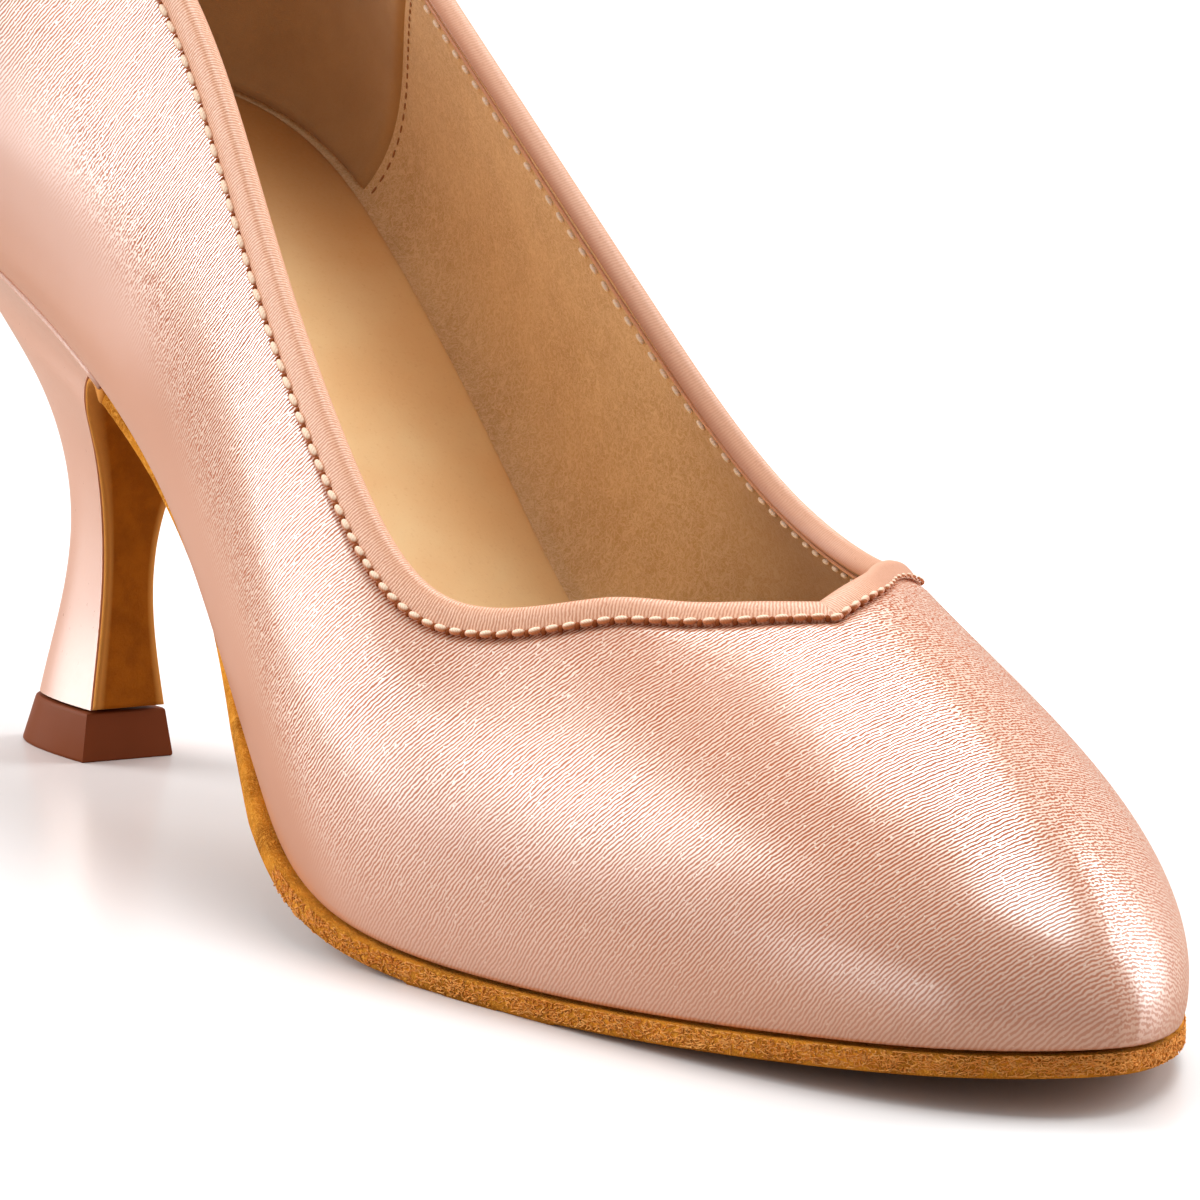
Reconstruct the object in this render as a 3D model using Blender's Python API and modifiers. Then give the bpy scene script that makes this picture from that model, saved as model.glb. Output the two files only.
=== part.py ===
"""A woman's ballroom and tango court shoe: right foot, EU 38, flared Louis heel.

+X runs to the toe, +Y to the wearer's left and +Z up. The origin is on the floor, under
the middle of the shoe's box. The upper grows from four closed curves round the last: the
featherline, where it meets the sole; the belly and the lid, which hold its wall out; and
the topline, the edge of the opening. Sole, insole and heel take their outlines from it.
"""

from collections import namedtuple

import bmesh
import bpy
import numpy as np

MM = 0.001

# Driving dimensions, in millimetres
LENGTH = 236.0          # heel back to toe tip, along the featherline
BALL_WIDTH = 70.0       # featherline across the ball
SEAT_RISE = 65.6        # heel seat above the tread
COLLAR_HEIGHT = 117.5   # back of the topline above the floor
WALL = 1.8              # upper: satin, interlining and lining together
GAP = 0.3               # between pieces that lie on each other
SOLE = 2.2              # outsole at the tread
BREAST_SOLE = 0.6       # outsole, where it covers the heel breast
EDGE_ROUND = 0.35       # outsole's lower edge, set in
TREAD_FLAT = 0.2        # nearer the floor than this, the tread is pressed flat on it
INSOLE = 2.0            # thickness
INSOLE_INSET = 2.4      # insole inside the featherline
TREAD_TOP = SOLE + GAP  # lowest height of the featherline
MIDDLE = (118.0, 0.35)  # middle of the shoe's box, measured from the heel back

# Topline binding: a folded satin strip, and the V cut at the throat
BINDING_HEIGHT = 3.4
BINDING_THICK = 2.8
BINDING_PROUD = 0.7     # of the wall's outside
NOTCH_DEPTH = 7.0
NOTCH_EASE = 1.6        # 1 would start the cut with a corner
NOTCH_REACH = 44.0      # either side of its point, along the featherline
NOTCH_SIDE = 2.5        # from the toe's rib to the point, on the lateral side

BREAST_TOP = 73.0       # where the heel's lip ends under the waist
LIP_GAP = 0.6           # from there to the first section of the sole

# Mesh steps
SIDE_COLUMNS = 46       # upper, from heel back to toe tip on each side
WALL_ROWS = 11
SOLE_STATIONS = 40
TIP = 0.15              # how near a plate's last station comes to the end of its outline
HEEL_RINGS = 15
HEEL_SIDE = 11          # points from the breast corner round to the heel back

# The last, from heel back to toe tip. along, lateral and medial are percent of LENGTH and
# BALL_WIDTH; rise is percent of SEAT_RISE. The rest is millimetres: how far and how high
# the belly curve stands off the featherline, and how the lid curve lies below the topline.
Station = namedtuple("Station", "along lateral medial rise belly_out belly_up lid_out lid_drop lid_pull")
LAST = [
    Station(1.0, 0.0, 0.0, 100.0, 5.5, 18.0, 1.0, 18.0, 0.33),
    Station(3.5, 24.5, 25.5, 99.5, 6.0, 17.0, 1.2, 18.0, 0.33),
    Station(12.0, 38.5, 38.5, 94.5, 7.0, 13.5, 2.5, 18.0, 0.33),
    Station(23.5, 33.5, 37.0, 79.0, 8.0, 9.0, 4.0, 18.5, 0.33),
    Station(37.0, 28.0, 32.5, 49.5, 8.0, 8.0, 5.0, 18.5, 0.33),
    Station(51.0, 38.5, 34.0, 16.0, 6.0, 13.0, 5.5, 17.0, 0.35),
    Station(63.0, 49.0, 47.0, 2.4, 4.0, 17.0, 5.0, 14.0, 0.40),
    Station(74.0, 45.5, 50.5, 0.0, 3.2, 17.0, 3.4, 12.5, 0.42),
    Station(84.0, 38.5, 41.8, 1.4, 3.3, 16.8, 1.5, 12.0, 0.45),
    Station(92.5, 29.0, 27.4, 3.6, 3.7, 15.6, 0.8, 9.8, 0.48),
    Station(98.0, 16.5, 12.0, 5.2, 3.8, 14.0, 0.3, 8.2, 0.50),
    Station(100.0, 0.0, 0.0, 6.0, 3.5, 13.5, 0.0, 7.0, 0.50),
]

# The topline over the same stations: percent of LENGTH, BALL_WIDTH and COLLAR_HEIGHT.
Top = namedtuple("Top", "lateral_along lateral_out lateral_up medial_along medial_out medial_up")
TOPLINE = [
    Top(1.3, 0.0, 100.0, 1.3, 0.0, 100.0),
    Top(3.8, 21.5, 99.6, 3.8, 21.5, 99.5),
    Top(12.0, 30.5, 95.2, 12.0, 30.5, 94.6),
    Top(23.6, 27.2, 86.5, 23.6, 28.0, 82.8),
    Top(35.3, 26.0, 74.0, 35.5, 26.5, 68.5),
    Top(47.0, 32.3, 54.8, 47.0, 31.0, 51.0),
    Top(57.3, 37.0, 39.1, 57.1, 34.8, 37.0),
    Top(65.0, 35.7, 30.7, 65.6, 33.3, 33.0),
    Top(70.5, 24.5, 32.3, 71.0, 24.5, 34.8),
    Top(73.0, 14.5, 33.4, 72.9, 14.3, 35.9),
    Top(74.0, 7.0, 34.5, 73.9, 6.6, 36.0),
    Top(74.2, 0.0, 35.2, 74.2, 0.0, 35.2),
]

# The outsole's edge from the heel's lip to the toe: place from the heel back, how far it
# stands beyond the featherline, and its thickness.
Edge = namedtuple("Edge", "place beyond thick")
SOLE_EDGE = [
    Edge(73.0, -0.2, 1.6),
    Edge(83.0, -0.4, 1.6),
    Edge(100.0, -0.3, 1.7),
    Edge(113.0, 0.8, 2.0),
    Edge(126.0, 1.4, SOLE),
    Edge(142.0, 1.1, SOLE),
    Edge(165.0, 0.5, SOLE),
    Edge(215.0, 0.5, SOLE),
    Edge(236.0, -0.6, SOLE),
]

# The heel below its seat, from the top piece upwards, in millimetres from the heel back.
# blend goes from the D of the top piece (0) to the outline of the seat (1).
Ring = namedtuple("Ring", "step front_up back_up front back half_width blend")
HEEL = [
    Ring(0.00, 5.5, 5.5, 50.0, 36.4, 4.6, 0.00),
    Ring(0.12, 12.0, 12.3, 48.6, 37.1, 3.6, 0.00),
    Ring(0.27, 20.0, 21.0, 47.6, 38.1, 3.1, 0.00),
    Ring(0.41, 27.5, 30.0, 47.6, 37.0, 4.1, 0.05),
    Ring(0.55, 34.0, 40.0, 49.0, 32.0, 6.8, 0.20),
    Ring(0.70, 39.0, 50.0, 51.5, 23.2, 10.7, 0.45),
    Ring(0.85, 42.5, 59.0, 54.7, 13.2, 14.0, 0.75),
]
HEEL_TURN = 7.0         # degrees: the top piece looks a little inwards
HEEL_SHIFT = -2.3       # top piece off the middle line, to the lateral side
D_POWER = 2.4           # squareness of the D's sides
Slice = namedtuple("Slice", "height front back half_width")
TOP_PIECE = [
    Slice(0.0, 50.9, 34.4, 6.0),
    Slice(5.2, 50.2, 36.2, 5.2),
]


def closed_spline(knots, points, period):
    """A smooth closed curve through points, as a function of the place along it."""
    count = len(points)
    step = np.diff(np.append(knots, period))
    before = np.roll(step, 1)
    ahead = (np.roll(points, -1, axis=0) - points) / step[:, None]
    bend = 6.0 * (ahead - np.roll(ahead, 1, axis=0))
    system = np.zeros((count, count))
    rows = np.arange(count)
    system[rows, rows] = 2.0 * (before + step)
    system[rows, rows - 1] += before
    system[rows, (rows + 1) % count] += step
    curl = np.linalg.solve(system, bend)

    def curve(place):
        place = np.mod(np.asarray(place, float), period)
        i = np.clip(np.searchsorted(knots, place, side="right") - 1, 0, count - 1)
        j = (i + 1) % count
        h = step[i][..., None]
        b = ((place - knots[i])[..., None]) / h
        a = 1.0 - b
        bow = ((a ** 3 - a) * curl[i] + (b ** 3 - b) * curl[j]) * h ** 2 / 6.0
        return a * points[i] + b * points[j] + bow

    return curve


def round_the_last(lateral, medial):
    """Station points of both sides, in order: heel back, lateral side, toe, medial side."""
    return np.array(lateral + medial[-2:0:-1])


def feather_points():
    lateral = []
    medial = []
    for row in LAST:
        x = row.along / 100 * LENGTH
        z = TREAD_TOP + row.rise / 100 * SEAT_RISE
        lateral.append((x, -row.lateral / 100 * BALL_WIDTH, z))
        medial.append((x, row.medial / 100 * BALL_WIDTH, z))
    return round_the_last(lateral, medial)


def top_points():
    lateral = []
    medial = []
    for row in TOPLINE:
        lateral.append((row.lateral_along / 100 * LENGTH,
                        -row.lateral_out / 100 * BALL_WIDTH,
                        row.lateral_up / 100 * COLLAR_HEIGHT))
        medial.append((row.medial_along / 100 * LENGTH,
                       row.medial_out / 100 * BALL_WIDTH,
                       row.medial_up / 100 * COLLAR_HEIGHT))
    return round_the_last(lateral, medial)


def plan_outward(curve, places):
    """Unit vectors that point out of a closed curve, level with the floor."""
    along = curve(places + 0.5) - curve(places - 0.5)
    outward = np.stack([along[..., 1], -along[..., 0], np.zeros(along.shape[:-1])], axis=-1)
    return outward / np.linalg.norm(outward, axis=-1, keepdims=True)


FEATHER = feather_points()
CHORDS = np.linalg.norm(np.roll(FEATHER, -1, axis=0) - FEATHER, axis=1)
KNOTS = np.concatenate([[0.0], np.cumsum(CHORDS)[:-1]])
GIRTH = CHORDS.sum()
TOE = KNOTS[len(LAST) - 1]


def station_values(field):
    values = [getattr(row, field) for row in LAST]
    return np.array(values + values[-2:0:-1])[:, None]


def last_curves():
    """Featherline, belly, lid and topline, each a function of the place on the featherline."""
    feather = closed_spline(KNOTS, FEATHER, GIRTH)
    outward = plan_outward(feather, KNOTS)
    up = np.array([[0.0, 0.0, 1.0]])
    top = top_points()
    level = np.array([[1.0, 1.0, 0.0]])
    belly = FEATHER + outward * station_values("belly_out") + up * station_values("belly_up")
    lid = (top + (FEATHER - top) * level * station_values("lid_pull")
           + outward * station_values("lid_out") - up * station_values("lid_drop"))
    return [closed_spline(KNOTS, points, GIRTH) for points in (FEATHER, belly, lid, top)]


CURVES = last_curves()


def rib(places, steps):
    """Points up the wall at each place: a curve from the featherline to the topline."""
    a, b, c, d = (curve(places)[:, None, :] for curve in CURVES)
    t = steps[None, :, None]
    s = 1.0 - t
    return s ** 3 * a + 3 * s ** 2 * t * b + 3 * s * t ** 2 * c + t ** 3 * d


def rib_lengths(places):
    """Running length up each rib, on fine steps."""
    points = rib(places, np.linspace(0.0, 1.0, 81))
    pieces = np.linalg.norm(np.diff(points, axis=1), axis=2)
    return points, np.concatenate([np.zeros((len(places), 1)), np.cumsum(pieces, axis=1)], axis=1)


def notch(places):
    """How far the V cut takes the edge down the rib."""
    share = np.clip(1.0 - np.abs(places - TOE + NOTCH_SIDE) / NOTCH_REACH, 0.0, 1.0)
    return NOTCH_DEPTH * share ** NOTCH_EASE


def edge_heights(places):
    """Length of each rib up to the shoe's real edge, the V cut taken off."""
    return rib_lengths(places)[1][:, -1] - notch(places)


def wall(places, heights):
    """Points on the outside of the wall, heights (place, row) measured up the ribs."""
    points, lengths = rib_lengths(places)
    out = np.empty(heights.shape + (3,))
    for column in range(len(places)):
        for axis in range(3):
            out[column, :, axis] = np.interp(heights[column], lengths[column], points[column, :, axis])
    return out


def wall_outward(places, heights, reach=1.0):
    """Unit vectors out of the wall."""
    above = wall(places, heights + reach / 2)
    below = wall(places, heights - reach / 2)
    ahead = wall(places + reach / 2, heights)
    behind = wall(places - reach / 2, heights)
    outward = np.cross(ahead - behind, above - below)
    return outward / np.linalg.norm(outward, axis=-1, keepdims=True)


def edge_lean(places):
    """1 / sine of the angle between rib and edge: turns a width across the edge
    into a length down the rib. At the V's point the steeper side counts."""
    top = edge_heights(places)
    points = wall(places, np.stack([top - 2.0, top], axis=1))
    up = points[:, 1] - points[:, 0]
    up /= np.linalg.norm(up, axis=1, keepdims=True)
    edge = points[:, 1]
    lean = np.ones(len(places))
    for way in (-1, 1):
        along = np.roll(edge, way, axis=0) - edge
        along /= np.linalg.norm(along, axis=1, keepdims=True)
        sine = np.linalg.norm(np.cross(up, along), axis=1)
        lean = np.maximum(lean, 1.0 / sine)
    return lean


def side_places(columns):
    """Places from heel back to toe to heel back, closer together at both ends."""
    share = np.linspace(0.0, 1.0, columns + 1)
    share = share - 0.3 * np.sin(2 * np.pi * share) / (2 * np.pi)
    lateral = share * TOE
    medial = GIRTH - share[::-1] * (GIRTH - TOE)
    return np.concatenate([lateral, medial[1:-1]])


def side_of(outline, side, x):
    """An outline's points on one side of the middle line, at the given x."""
    half = outline[outline[:, 1] * side >= 0.0]
    half = half[np.argsort(half[:, 0])]
    return np.column_stack([x, np.interp(x, half[:, 0], half[:, 1]), bottom_height(x)])


def bottom_height(x):
    """Height of the featherline, the mean of both sides, so that plates lie level across."""
    heights = []
    for end in (0.0, GIRTH):
        side = CURVES[0](np.linspace(TOE, end, 1200))[::-1]
        heights.append(np.interp(x, side[:, 0], side[:, 2]))
    return (heights[0] + heights[1]) / 2


def place_in_world(points):
    shift = np.array([MIDDLE[0], MIDDLE[1], 0.0])
    return (np.asarray(points) - shift) * MM


def new_object(name, verts, faces, material, collection):
    mesh = bpy.data.meshes.new(name)
    mesh.from_pydata([tuple(v) for v in verts], [], faces)
    mesh.validate()
    mesh.materials.append(material)
    obj = bpy.data.objects.new(name, mesh)
    collection.objects.link(obj)
    return obj


def band(rings, per_ring, closed_rings, closed_band):
    """Quads between neighbouring rings of points, numbered ring by ring."""
    faces = []
    for i in range(rings if closed_band else rings - 1):
        for j in range(per_ring if closed_rings else per_ring - 1):
            a = i * per_ring + j
            b = i * per_ring + (j + 1) % per_ring
            c = (i + 1) % rings * per_ring + (j + 1) % per_ring
            d = (i + 1) % rings * per_ring + j
            faces.append((a, d, c, b))
    return faces


def loft(name, rings, material, collection, closed_band=False):
    """A closed solid through rings of points, with a flat cap at each open end."""
    count, size = rings.shape[:2]
    faces = band(count, size, True, closed_band)
    if not closed_band:
        faces += strips_across(0, size)
        faces += strips_across((count - 1) * size, size)
    solid = new_object(name, place_in_world(rings.reshape(-1, 3)), faces, material, collection)
    face_outwards(solid.data)
    return solid


def strips_across(first, size):
    """An end cap in strips from side to side, so that it follows a curved seat."""
    faces = []
    for k in range((size - 1) // 2):
        strip = [k, k + 1, size - 2 - k, size - 1 - k]
        if strip[1] == strip[2]:
            strip.pop(2)
        faces.append(tuple(first + i for i in strip))
    return faces


def face_outwards(mesh):
    work = bmesh.new()
    work.from_mesh(mesh)
    bmesh.ops.recalc_face_normals(work, faces=work.faces)
    work.to_mesh(mesh)
    work.free()


def smooth(obj, angle):
    obj.data.shade_smooth()
    obj.data.set_sharp_from_angle(angle=np.radians(angle))


def make_upper(material, collection):
    places = side_places(SIDE_COLUMNS)
    trim = (BINDING_HEIGHT + GAP) * edge_lean(places)
    top = edge_heights(places) - trim
    heights = top[:, None] * np.linspace(0.0, 1.0, WALL_ROWS + 1)[None, :]
    grid = wall(places, heights)
    columns, rows = grid.shape[:2]
    faces = band(columns, rows, False, True)
    upper = new_object("upper", place_in_world(grid.reshape(-1, 3)), faces, material, collection)
    shell = upper.modifiers.new("wall", "SOLIDIFY")
    shell.thickness = WALL * MM
    shell.offset = -1.0
    shell.use_even_offset = True
    smooth(upper, 50)
    return upper


def make_binding(material, collection):
    places = side_places(SIDE_COLUMNS)
    turn = np.linspace(0.0, 2 * np.pi, 8, endpoint=False)
    down = BINDING_HEIGHT / 2 * (1.0 - np.sin(turn))
    out = BINDING_PROUD - BINDING_THICK / 2 * (1.0 - np.cos(turn))
    heights = edge_heights(places)[:, None] - down[None, :] * edge_lean(places)[:, None]
    rings = wall(places, heights) + wall_outward(places, heights) * out[None, :, None]
    binding = loft("topline_binding", rings, material, collection, closed_band=True)
    smooth(binding, 60)
    return binding


def insole_outline():
    """The insole's outline, inside the wall, at the height of its lower face."""
    places = np.linspace(0.0, GIRTH, 480, endpoint=False)
    return CURVES[0](places) - plan_outward(CURVES[0], places) * INSOLE_INSET


def stations(start, end, count):
    """Places along the shoe, closer together towards both ends."""
    share = (1.0 - np.cos(np.linspace(0.0, np.pi, count))) / 2
    return start + (end - start) * share


def make_insole(material, collection):
    outline = insole_outline()
    x = stations(outline[:, 0].min() + TIP, outline[:, 0].max() - TIP, SOLE_STATIONS)
    lateral, medial = (side_of(outline, side, x) for side in (-1, 1))
    rise = np.array([0.0, 0.0, INSOLE])
    rings = np.stack([lateral + rise, lateral, medial, medial + rise], axis=1)
    insole = loft("insole", rings, material, collection)
    smooth(insole, 40)
    return insole


def half_section(front, back, half_width):
    """One side of a D from its front corner round to the middle of the back."""
    turn = np.linspace(0.0, np.pi / 2, HEEL_SIDE)
    x = front - (front - back) * np.sin(turn) ** (2 / D_POWER)
    y = half_width * np.cos(turn) ** (2 / D_POWER)
    return np.column_stack([x, y])


def heel_ring(row, seats, settle):
    """One ring of the heel, from the lateral breast corner round the back."""
    section = half_section(0.0, -1.0, 1.0)
    sides = []
    for seat, side in zip(seats, (-1, 1)):
        seat_back = (seat[0, 0] - seat[:, 0]) / (seat[0, 0] - seat[-1, 0])
        seat_out = np.abs(seat[:, 1]) / np.abs(seat[:, 1]).max()
        back = (1 - row.blend) * -section[:, 0] + row.blend * seat_back
        out = (1 - row.blend) * section[:, 1] + row.blend * seat_out
        x = row.front - (row.front - row.back) * back
        z = row.front_up + (row.back_up - row.front_up) * back
        sides.append(np.column_stack([x, side * row.half_width * out, z]))
    ring = np.concatenate([sides[0], sides[1][-2::-1]])
    return turn_about(ring, row.front, HEEL_TURN * settle, HEEL_SHIFT * settle)


def heel_rings(count):
    """Rings of the heel from the top piece up to the seat."""
    seats = seat_sides()
    settle = 1.0 - np.arange(len(HEEL)) / len(HEEL)
    rings = [heel_ring(row, seats, share) for row, share in zip(HEEL, settle)]
    seat_ring = np.concatenate([seats[0], seats[1][-2::-1]])
    seat_ring[:, 2] = bottom_height(seat_ring[:, 0]) - GAP
    knots = np.array([row.step for row in HEEL] + [1.0])
    return open_spline(knots, np.array(rings + [seat_ring]), np.linspace(0.0, 1.0, count))


def turn_about(points, x, degrees, shift):
    """Points turned about an upright line through x on the middle line, then shifted."""
    angle = np.radians(degrees)
    away = points[:, 0] - x
    turned = points.copy()
    turned[:, 0] = x + np.cos(angle) * away - np.sin(angle) * points[:, 1]
    turned[:, 1] = shift + np.sin(angle) * away + np.cos(angle) * points[:, 1]
    return turned


def open_spline(knots, values, places):
    """A smooth curve through values at knots, with its bend carried on past both ends."""
    count = len(knots)
    step = np.diff(knots)
    flat = values.reshape(count, -1)
    slope = np.diff(flat, axis=0) / step[:, None]
    system = np.zeros((count, count))
    right = np.zeros_like(flat)
    for i in range(1, count - 1):
        system[i, i - 1:i + 2] = step[i - 1], 2 * (step[i - 1] + step[i]), step[i]
        right[i] = 6 * (slope[i] - slope[i - 1])
    system[0, :3] = step[1], -(step[0] + step[1]), step[0]
    system[-1, -3:] = step[-1], -(step[-2] + step[-1]), step[-2]
    curl = np.linalg.solve(system, right)
    i = np.clip(np.searchsorted(knots, places, side="right") - 1, 0, count - 2)
    h = step[i][:, None]
    b = (places - knots[i])[:, None] / h
    a = 1 - b
    bow = ((a ** 3 - a) * curl[i] + (b ** 3 - b) * curl[i + 1]) * h ** 2 / 6
    return (a * flat[i] + b * flat[i + 1] + bow).reshape((len(places),) + values.shape[1:])


def seat_sides():
    """The featherline round the heel seat: each side from the lip back to the heel back."""
    lateral = CURVES[0](np.linspace(TOE, 0.0, 1200))
    medial = CURVES[0](np.linspace(TOE, GIRTH, 1200))
    sides = []
    for half in (lateral, medial):
        half = half[half[:, 0] <= BREAST_TOP]
        run = np.concatenate([[0.0], np.cumsum(np.linalg.norm(np.diff(half, axis=0), axis=1))])
        even = np.linspace(0.0, run[-1], HEEL_SIDE)
        sides.append(np.stack([np.interp(even, run, half[:, axis]) for axis in range(3)], axis=1))
    return sides


def make_heel(material, collection):
    heel = loft("heel", heel_rings(HEEL_RINGS), material, collection)
    smooth(heel, 40)
    return heel


def make_top_piece(material, collection):
    rings = []
    for row in TOP_PIECE:
        side = half_section(row.front, row.back, row.half_width)
        ring = np.concatenate([side * (1, -1), side[-2::-1]])
        ring = np.column_stack([ring, np.full(len(ring), row.height)])
        rings.append(turn_about(ring, HEEL[0].front, HEEL_TURN, HEEL_SHIFT))
    top_piece = loft("heel_top_piece", np.array(rings), material, collection)
    smooth(top_piece, 40)
    return top_piece


def along_sole(field, x):
    """A value of the sole's edge table, at the given x."""
    return np.interp(x, [row.place for row in SOLE_EDGE], [getattr(row, field) for row in SOLE_EDGE])


def sole_sides():
    """Both top edges of the sole plate, from the heel's lip forward to the toe."""
    places = np.linspace(0.0, GIRTH, 720, endpoint=False)
    feather = CURVES[0](places)
    beyond = along_sole("beyond", feather[:, 0])
    outline = feather + plan_outward(CURVES[0], places) * beyond[:, None]
    start = BREAST_TOP + LIP_GAP
    reach = outline[:, 0].max() - TIP - start
    x = start + reach * np.sin(np.linspace(0.0, np.pi / 2, SOLE_STATIONS))
    drop = np.array([0.0, 0.0, GAP])
    return [side_of(outline, side, x) - drop for side in (-1, 1)]


def sole_ring(lateral, medial, way, near, far):
    """Six points round the sole between its upper face (near) and lower face (far)."""
    middle = (near + far) / 2
    inward = (medial - lateral) / np.linalg.norm(medial - lateral) * EDGE_ROUND
    return [lateral + way * near, lateral + way * middle, lateral + way * far + inward,
            medial + way * far - inward, medial + way * middle, medial + way * near]


def make_outsole(material, collection):
    """One strip of suede: under the foot from the toe back to the heel's lip, then down
    the heel breast to the top piece."""
    lateral, medial = sole_sides()
    middle = (lateral + medial) / 2
    slope = np.gradient(middle[:, 2], middle[:, 0])
    down = np.stack([slope, np.zeros_like(slope), -np.ones_like(slope)], axis=1)
    down /= np.linalg.norm(down, axis=1, keepdims=True)
    thick = along_sole("thick", middle[:, 0])
    rings = [sole_ring(*row, 0.0, t) for *row, t in zip(lateral, medial, down, thick)]
    plate = np.array(rings)[::-1]
    height = plate[:, :, 2]
    height[height < TREAD_FLAT] = 0.0

    breast = heel_rings(HEEL_RINGS)[::-1]
    lateral = breast[:, 0]
    medial = breast[:, -1]
    along = np.gradient(lateral + medial, axis=0)
    forward = np.cross(lateral - medial, along)
    forward /= np.linalg.norm(forward, axis=1, keepdims=True)
    rings = [sole_ring(*row, GAP, GAP + BREAST_SOLE) for row in zip(lateral, medial, forward)]
    outsole = loft("outsole", np.concatenate([plate, np.array(rings)[1:]]), material, collection)
    smooth(outsole, 40)
    return outsole


def surface(name, colour, roughness, metallic):
    material = bpy.data.materials.new(name)
    material.use_nodes = True
    shader = material.node_tree.nodes["Principled BSDF"]
    shader.inputs["Base Color"].default_value = (*colour, 1.0)
    shader.inputs["Roughness"].default_value = roughness
    shader.inputs["Metallic"].default_value = metallic
    return material


def main():
    for obj in list(bpy.data.objects):
        bpy.data.objects.remove(obj, do_unlink=True)
    shoe = bpy.data.collections.new("tango_shoe")
    bpy.context.scene.collection.children.link(shoe)
    flesh_satin = surface("flesh_satin", (0.78, 0.49, 0.38), 0.35, 0.0)
    pale_satin = surface("pale_satin", (0.82, 0.55, 0.44), 0.4, 0.0)
    sock_leather = surface("sock_leather", (0.62, 0.37, 0.17), 0.5, 0.0)
    suede = surface("suede", (0.29, 0.13, 0.03), 0.95, 0.0)
    top_lift = surface("top_lift", (0.13, 0.035, 0.02), 0.3, 0.0)
    make_upper(flesh_satin, shoe)
    make_binding(pale_satin, shoe)
    make_insole(sock_leather, shoe)
    make_outsole(suede, shoe)
    make_heel(flesh_satin, shoe)
    make_top_piece(top_lift, shoe)


main()
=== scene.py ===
# %% [markdown]
# # A satin ballroom court shoe, right foot
#
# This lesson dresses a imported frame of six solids: upper, topline binding, insole,
# outsole, heel and top piece. The frame already has the real sizes. Here each piece gets
# the surface a shoemaker would give it, and the materials that make it look like satin,
# suede, leather and moulded plastic.
#
# Lengths are worked out in millimetres from the back of the heel, with +X to the toe,
# +Y to the wearer's left and +Z up. Only the last step turns them into the frame's metres.

import bmesh
import bpy
import numpy as np
from mathutils import Matrix, Vector


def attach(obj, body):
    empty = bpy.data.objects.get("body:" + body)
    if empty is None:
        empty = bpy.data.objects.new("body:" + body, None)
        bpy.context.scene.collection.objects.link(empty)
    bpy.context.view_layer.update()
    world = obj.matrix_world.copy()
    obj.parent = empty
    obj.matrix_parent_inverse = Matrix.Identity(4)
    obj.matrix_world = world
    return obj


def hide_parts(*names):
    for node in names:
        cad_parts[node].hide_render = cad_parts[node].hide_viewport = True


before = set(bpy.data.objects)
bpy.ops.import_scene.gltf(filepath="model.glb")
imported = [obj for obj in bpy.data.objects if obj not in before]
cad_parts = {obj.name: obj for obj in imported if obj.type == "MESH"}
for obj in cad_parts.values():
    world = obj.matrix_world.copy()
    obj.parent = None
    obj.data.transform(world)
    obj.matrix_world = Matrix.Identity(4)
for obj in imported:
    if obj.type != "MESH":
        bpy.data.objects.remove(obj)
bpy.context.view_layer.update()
print("frame:", sorted(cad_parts))

# %% [markdown]
# ## The last
#
# A shoe is built on a last, a solid foot shape. Its surface could be sculpted or
# subdivided from a cage. It is worked out instead from four closed curves round the foot:
# the featherline where the upper meets the sole, a belly curve and a lid curve that hold
# the wall out, and the topline round the opening. Sizes stay readable, and any piece can
# be laid on the same surface at any fineness.

# %% Sizes of the last, in millimetres
LENGTH = 236.0
BALL_WIDTH = 70.0
SEAT_RISE = 65.6
COLLAR_HEIGHT = 117.5
TREAD_TOP = 2.5
MIDDLE = np.array([118.0, 0.35, 0.0])
NOTCH_DEPTH = 7.0       # the V at the throat: its depth,
NOTCH_EASE = 1.6        # the power that sharpens its point,
NOTCH_REACH = 44.0      # its reach along each side,
NOTCH_SIDE = 2.5        # and how far its point stands to the lateral side

# along, lateral and medial are percent of LENGTH and BALL_WIDTH, rise percent of SEAT_RISE;
# then, in millimetres, how far the belly stands out and up, and where the lid lies.
LAST_COLUMNS = ["along", "lateral", "medial", "rise",
                "belly_out", "belly_up", "lid_out", "lid_drop", "lid_pull"]
LAST = np.array([
    [1.0, 0.0, 0.0, 100.0, 5.5, 18.0, 1.0, 18.0, 0.33],
    [3.5, 24.5, 25.5, 99.5, 6.0, 17.0, 1.2, 18.0, 0.33],
    [12.0, 38.5, 38.5, 94.5, 7.0, 13.5, 2.5, 18.0, 0.33],
    [23.5, 33.5, 37.0, 79.0, 8.0, 9.0, 4.0, 18.5, 0.33],
    [37.0, 28.0, 32.5, 49.5, 8.0, 8.0, 5.0, 18.5, 0.33],
    [51.0, 38.5, 34.0, 16.0, 6.0, 13.0, 5.5, 17.0, 0.35],
    [63.0, 49.0, 47.0, 2.4, 4.0, 17.0, 5.0, 14.0, 0.40],
    [74.0, 45.5, 50.5, 0.0, 3.2, 17.0, 3.4, 12.5, 0.42],
    [84.0, 38.5, 41.8, 1.4, 3.3, 16.8, 1.5, 12.0, 0.45],
    [92.5, 29.0, 27.4, 3.6, 3.7, 15.6, 0.8, 9.8, 0.48],
    [98.0, 16.5, 12.0, 5.2, 3.8, 14.0, 0.3, 8.2, 0.50],
    [100.0, 0.0, 0.0, 6.0, 3.5, 13.5, 0.0, 7.0, 0.50],
])

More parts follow.
